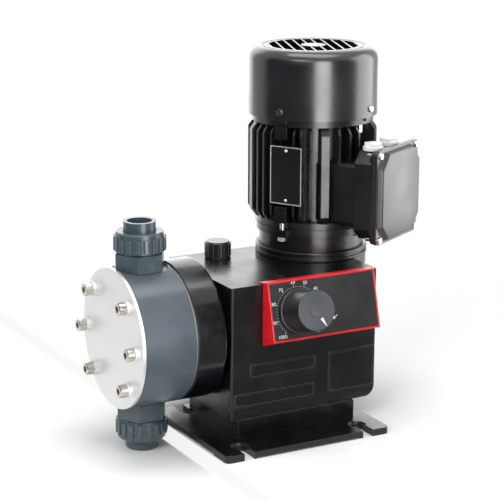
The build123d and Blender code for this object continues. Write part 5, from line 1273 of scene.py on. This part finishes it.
@dataclass
class Badge:
    """Plain black nameplate on the motor, with its bright edge line and two rivets."""

    turn_degrees: float = -150.0
    out: float = 63.8 * MM
    thickness: float = 0.9 * MM
    width: float = 37.8 * MM
    height: float = 61.5 * MM
    corner: float = 1.2 * MM
    shift: float = 5.0 * MM
    band: float = 0.9 * MM
    band_inset: float = 0.7 * MM
    rise: float = 0.1 * MM
    middle_z: float = 252.9 * MM
    rivet_radius: float = 1.7 * MM
    rivet_flatness: float = 0.45
    rivet_inset: float = 4.2 * MM

    def plane(self) -> Matrix:
        """Plane of the plate's outer face, with its own Y up."""
        shift = Matrix.Translation((self.shift, 0, 0))
        return upright(self.turn_degrees, self.out, self.middle_z) @ shift

    def build(self) -> None:
        """Builds the plate, the edge line and the domed rivets."""
        place = self.plane()
        plate = bmesh.new()
        outline = cut_rectangle(self.width, self.height, self.corner)
        add_prism(plate, outline, place, -self.thickness, 0.0)
        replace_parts(mesh_piece("badge_plate", plate, BADGE_FILM, "frame"), "badge")
        form, rivets = bmesh.new(), bmesh.new()
        half_x, half_y = self.width / 2 - self.band_inset, self.height / 2 - self.band_inset
        inner = half_x - self.band
        dome = Matrix.Diagonal((1, 1, self.rivet_flatness, 1))
        for side in (-1, 1):
            x0, x1 = sorted((side * half_x, side * inner))
            y0, y1 = sorted((side * half_y, side * (half_y - self.band)))
            upright_line = [(x0, -half_y), (x1, -half_y), (x1, half_y), (x0, half_y)]
            level_line = [(-inner, y0), (inner, y0), (inner, y1), (-inner, y1)]
            for line in (upright_line, level_line):
                add_prism(form, line, place, 0.0, self.rise)
            spot = place @ Matrix.Translation((0, side * (half_y - self.rivet_inset), 0))
            bmesh.ops.create_uvsphere(
                rivets,
                u_segments=20,
                v_segments=10,
                radius=self.rivet_radius,
                matrix=spot @ dome,
            )
        mesh_piece("badge_edge", form, BADGE_EDGE, "frame")
        mesh_piece("badge_rivets", rivets, BADGE_EDGE, "frame")


@dataclass(frozen=True)
class Lamp:
    """Rectangular soft lamp that faces the pump's middle, with its width and height."""

    name: str
    place: Point
    size: tuple[float, float]
    watts: float


@dataclass(frozen=True)
class Card:
    """Upright curved card round the pump, which only its reflections show.

    start and end are the directions of its edges in degrees, seen from the pump, and light is
    how bright it is, where the white surround is 1.
    """

    name: str
    start: float
    end: float
    light: float


@dataclass
class Studio:
    """Pale floor, soft lamps, cards for the reflections, and the camera.

    The camera's place and angles come from the photograph's perspective.
    """

    camera_place: Point = (-0.8361, -1.4701, 0.6161)
    yaw_degrees: float = 27.86
    pitch_degrees: float = 13.72
    focal_pixels: float = 1732.05
    image_pixels: float = 500.0
    sensor_mm: float = 36.0
    shift_x: float = 0.0592
    shift_y: float = -0.0343
    far_clip: float = 20.0
    step_low_x: float = -0.1035
    step_high_x: float = -0.0945
    step_parts: int = 12
    floor_z: float = -0.0125
    floor_gap: float = 0.00005
    floor_reach: float = 4.0
    # Grains of about 17 mm in the floor's tone
    floor_grains_per_metre: float = 60.0
    floor_tones: tuple[str, str] = ("f4f4f4", "f8f8f8")
    fade_start: float = 0.28
    fade_end: float = 0.75
    # Cosines of the slope from which the step starts to glow plain white over the shade that
    # falls on it, and where it glows most
    step_cosines: tuple[float, float] = (0.995, 0.9)
    step_white: float = 0.85
    world_light: float = 0.5
    aim: Point = (0.0, 0.03, 0.17)
    lamps: tuple[Lamp, ...] = (
        Lamp("key_lamp", place=(-1.6, -1.1, 1.5), size=(1.2, 1.2), watts=24.0),
        Lamp("top_lamp", place=(0.1, 0.1, 2.0), size=(1.4, 1.0), watts=20.0),
        Lamp("side_lamp", place=(1.6, -1.0, 0.9), size=(0.5, 1.6), watts=12.0),
    )
    cards: tuple[Card, ...] = (
        Card("light_card_back", start=34.0, end=106.0, light=2.6),
        Card("dark_card_left", start=148.0, end=246.0, light=0.05),
        Card("light_card_front", start=246.0, end=272.0, light=10.0),
        Card("dark_card_front", start=272.0, end=322.0, light=0.03),
        Card("light_card_right", start=322.0, end=366.0, light=5.0),
    )
    card_middle: tuple[float, float] = (0.04, 0.04)
    card_radius: float = 0.75
    card_height: float = 0.9
    card_facet_degrees: float = 8.0
    floor_card: tuple[tuple[float, float], ...] = (
        (-0.12, -0.1), (0.16, -0.1), (0.65, -0.75), (0.08, -0.78),
    )
    floor_card_lift: float = 0.0008
    floor_card_light: float = 0.3

    def seen(self, tree: Tree, path: bpy.types.Node) -> Socket:
        """Tells whether the camera or a reflection looks at a surface.

        Args:
            tree: the node tree.
            path: its light path node.

        Returns:
            1 if so, else 0.
        """
        rays = {0: path.outputs["Is Camera Ray"], 1: path.outputs["Is Glossy Ray"]}
        return add_node(tree, "ShaderNodeMath", {"operation": "MAXIMUM"}, rays).outputs[0]

    def pale(self) -> bpy.types.Material:
        """Builds the floor's matt pale surface, which fades to plain white far from the pump, and
        whose sloping step glows white to paint out the shade on it.

        Returns:
            The material.
        """
        made = empty_material("pale_floor")
        tree = made.node_tree
        place = add_node(tree, "ShaderNodeTexCoord").outputs["Object"]
        far = add_node(
            tree, "ShaderNodeVectorMath", {"operation": "LENGTH"}, {0: place}
        ).outputs["Value"]
        grain = add_node(
            tree,
            "ShaderNodeTexNoise",
            {},
            {"Vector": place, "Scale": self.floor_grains_per_metre, "Detail": GRAIN_DETAIL},
        ).outputs["Fac"]
        dark, light = (srgb(tone) for tone in self.floor_tones)
        tone = add_node(
            tree,
            "ShaderNodeMix",
            {"data_type": "RGBA"},
            {"Factor": grain, MIX_A: dark, MIX_B: light},
        ).outputs[MIX_COLOUR]
        up = add_node(tree, "ShaderNodeCombineXYZ", {}, {"Z": 1.0}).outputs[0]
        matt = add_node(
            tree, "ShaderNodeBsdfDiffuse", {}, {"Color": tone, "Normal": up}
        ).outputs[0]
        white = add_node(
            tree, "ShaderNodeEmission", {}, {"Color": WHITE, "Strength": 1.0}
        ).outputs[0]
        fade = add_node(
            tree,
            "ShaderNodeMapRange",
            {"interpolation_type": "SMOOTHSTEP"},
            {"Value": far, "From Min": self.fade_start, "From Max": self.fade_end},
        ).outputs[0]
        facing = add_node(tree, "ShaderNodeNewGeometry").outputs["True Normal"]
        level = add_node(
            tree,
            "ShaderNodeVectorMath",
            {"operation": "DOT_PRODUCT"},
            {0: facing, 1: (0.0, 0.0, 1.0)},
        ).outputs["Value"]
        # Painted light: the step's slope glows white for the camera and reflections, covering the
        # shade that falls on it
        slope = add_node(
            tree,
            "ShaderNodeMapRange",
            {},
            {
                "Value": level,
                "From Min": self.step_cosines[0],
                "From Max": self.step_cosines[1],
                "To Max": self.step_white,
            },
        ).outputs[0]
        plain = add_node(
            tree, "ShaderNodeMath", {"operation": "MAXIMUM"}, {0: fade, 1: slope}
        ).outputs[0]
        seen = self.seen(tree, add_node(tree, "ShaderNodeLightPath"))
        share = add_node(
            tree, "ShaderNodeMath", {"operation": "MULTIPLY"}, {0: plain, 1: seen}
        ).outputs[0]
        mixed = add_node(
            tree, "ShaderNodeMixShader", {}, {0: share, 1: matt, 2: white}
        ).outputs[0]
        add_node(tree, "ShaderNodeOutputMaterial", {}, {"Surface": mixed})
        return made

    def build_floor(self) -> None:
        """One pale sheet: the level that the base stands on, and a soft step down beside it.

        The dosing head's lower union ends below the base's pads, so the floor under it is lower.
        """
        form = bmesh.new()
        line = [(-self.floor_reach, self.floor_z)]
        for i in range(self.step_parts + 1):
            share = i / self.step_parts
            x = self.step_low_x + share * (self.step_high_x - self.step_low_x)
            line.append((x, self.floor_z * (1 - share * share * (3 - 2 * share))))
        line.append((self.floor_reach, 0.0))
        rows = [
            [form.verts.new((x, y, z - self.floor_gap)) for x, z in line]
            for y in (-self.floor_reach, self.floor_reach)
        ]
        for i in range(len(line) - 1):
            form.faces.new((rows[0][i], rows[0][i + 1], rows[1][i + 1], rows[1][i]))
        item = link_mesh("floor", form, self.pale())

    def build_world(self) -> None:
        """White to the camera and in reflections, softer as a light."""
        world = bpy.data.worlds.new("studio")
        bpy.context.scene.world = world
        world.use_nodes = True
        tree = world.node_tree
        tree.nodes.clear()
        path = add_node(tree, "ShaderNodeLightPath")
        rays = {0: self.seen(tree, path), 1: path.outputs["Is Transmission Ray"]}
        clear = add_node(tree, "ShaderNodeMath", {"operation": "MAXIMUM"}, rays).outputs[0]
        strength = add_node(
            tree,
            "ShaderNodeMapRange",
            {},
            {"Value": clear, "To Min": self.world_light, "To Max": 1.0},
        ).outputs[0]
        light = add_node(
            tree, "ShaderNodeBackground", {}, {"Color": WHITE, "Strength": strength}
        ).outputs[0]
        add_node(tree, "ShaderNodeOutputWorld", {}, {"Surface": light})

    def add_lamp(self, lamp: Lamp) -> None:
        """Adds a lamp that faces the pump's middle.

        Args:
            lamp: the lamp.
        """
        data = bpy.data.lights.new(lamp.name, "AREA")
        data.shape = "RECTANGLE"
        data.size, data.size_y = lamp.size
        data.energy = lamp.watts
        item = bpy.data.objects.new(lamp.name, data)
        bpy.context.scene.collection.objects.link(item)
        item.location = lamp.place
        item.rotation_mode = "QUATERNION"
        ray = Vector(self.aim) - Vector(lamp.place)
        item.rotation_quaternion = ray.to_track_quat("-Z", "Y")

    def add_card(self, card: Card) -> None:
        """Adds an upright curved card round the pump, out of the camera's sight.

        Args:
            card: the card.
        """
        form = bmesh.new()
        sweep = card.end - card.start
        parts = int(sweep / self.card_facet_degrees)
        columns = []
        for i in range(parts + 1):
            turn = math.radians(card.start + sweep * i / parts)
            x = self.card_middle[0] + self.card_radius * math.cos(turn)
            y = self.card_middle[1] + self.card_radius * math.sin(turn)
            columns.append([form.verts.new((x, y, z)) for z in (0.0, self.card_height)])
        for left, right in zip(columns, columns[1:]):
            form.faces.new((left[0], right[0], right[1], left[1]))
        self.reflect_only(card.name, form, card.light)

    def add_floor_card(self) -> None:
        """Adds the dark card that lies on the floor before the pump."""
        form = bmesh.new()
        corners = [(x, y, self.floor_card_lift) for x, y in self.floor_card]
        form.faces.new([form.verts.new(corner) for corner in corners])
        self.reflect_only("dark_floor_card", form, self.floor_card_light)

    def reflect_only(self, name: str, form: Form, light: float) -> None:
        """Turns a bmesh into a glowing or dark card that only reflections show.

        Args:
            name: the card's name.
            form: its shape, which is freed.
            light: how bright it is, where the white surround is 1.
        """
        made = empty_material(name)
        tree = made.node_tree
        glow = add_node(
            tree, "ShaderNodeEmission", {}, {"Color": WHITE, "Strength": light}
        ).outputs[0]
        add_node(tree, "ShaderNodeOutputMaterial", {}, {"Surface": glow})
        item = link_mesh(name, form, made)
        item.visible_camera = False
        item.visible_diffuse = False
        item.visible_shadow = False

    def build_camera(self) -> None:
        """Builds the camera and makes it the scene's own."""
        yaw, pitch = math.radians(self.yaw_degrees), math.radians(self.pitch_degrees)
        level = math.cos(pitch)
        forward = Vector((math.sin(yaw) * level, math.cos(yaw) * level, -math.sin(pitch)))
        data = bpy.data.cameras.new("camera")
        data.sensor_width = self.sensor_mm
        data.lens = self.focal_pixels / self.image_pixels * data.sensor_width
        data.shift_x = self.shift_x
        data.shift_y = self.shift_y
        data.clip_end = self.far_clip
        item = bpy.data.objects.new("camera", data)
        bpy.context.scene.collection.objects.link(item)
        item.location = self.camera_place
        item.rotation_mode = "QUATERNION"
        item.rotation_quaternion = forward.to_track_quat("-Z", "Y")
        bpy.context.scene.camera = item

    def build(self) -> None:
        """Builds the whole studio."""
        self.build_camera()
        self.build_floor()
        self.build_world()
        for lamp in self.lamps:
            self.add_lamp(lamp)
        for card in self.cards:
            self.add_card(card)
        self.add_floor_card()
        bpy.context.scene.view_settings.view_transform = "Standard"


def main() -> None:
    """Builds the looks in order."""
    dress_nodes()
    spring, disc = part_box("return_spring"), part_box("diaphragm")
    assemblies = (
        SoftPart("return_spring", "spring_coil", STEEL, "steel", spring[1][0], spring[0][0]),
        SoftPart("diaphragm", "diaphragm_disc", PTFE, "diaphragm_white", disc[1][0], disc[0][0]),
        ControlPanel(),
        Knob(),
        Cowl(),
        Stator(),
        TerminalBox(),
        Dial(),
        KnobPointer(),
        Badge(),
        Studio(),
    )
    for assembly in assemblies:
        assembly.build()
        log.info("%s built", type(assembly).__name__)
    log.info("size written")


if __name__ == "__main__":
    main()
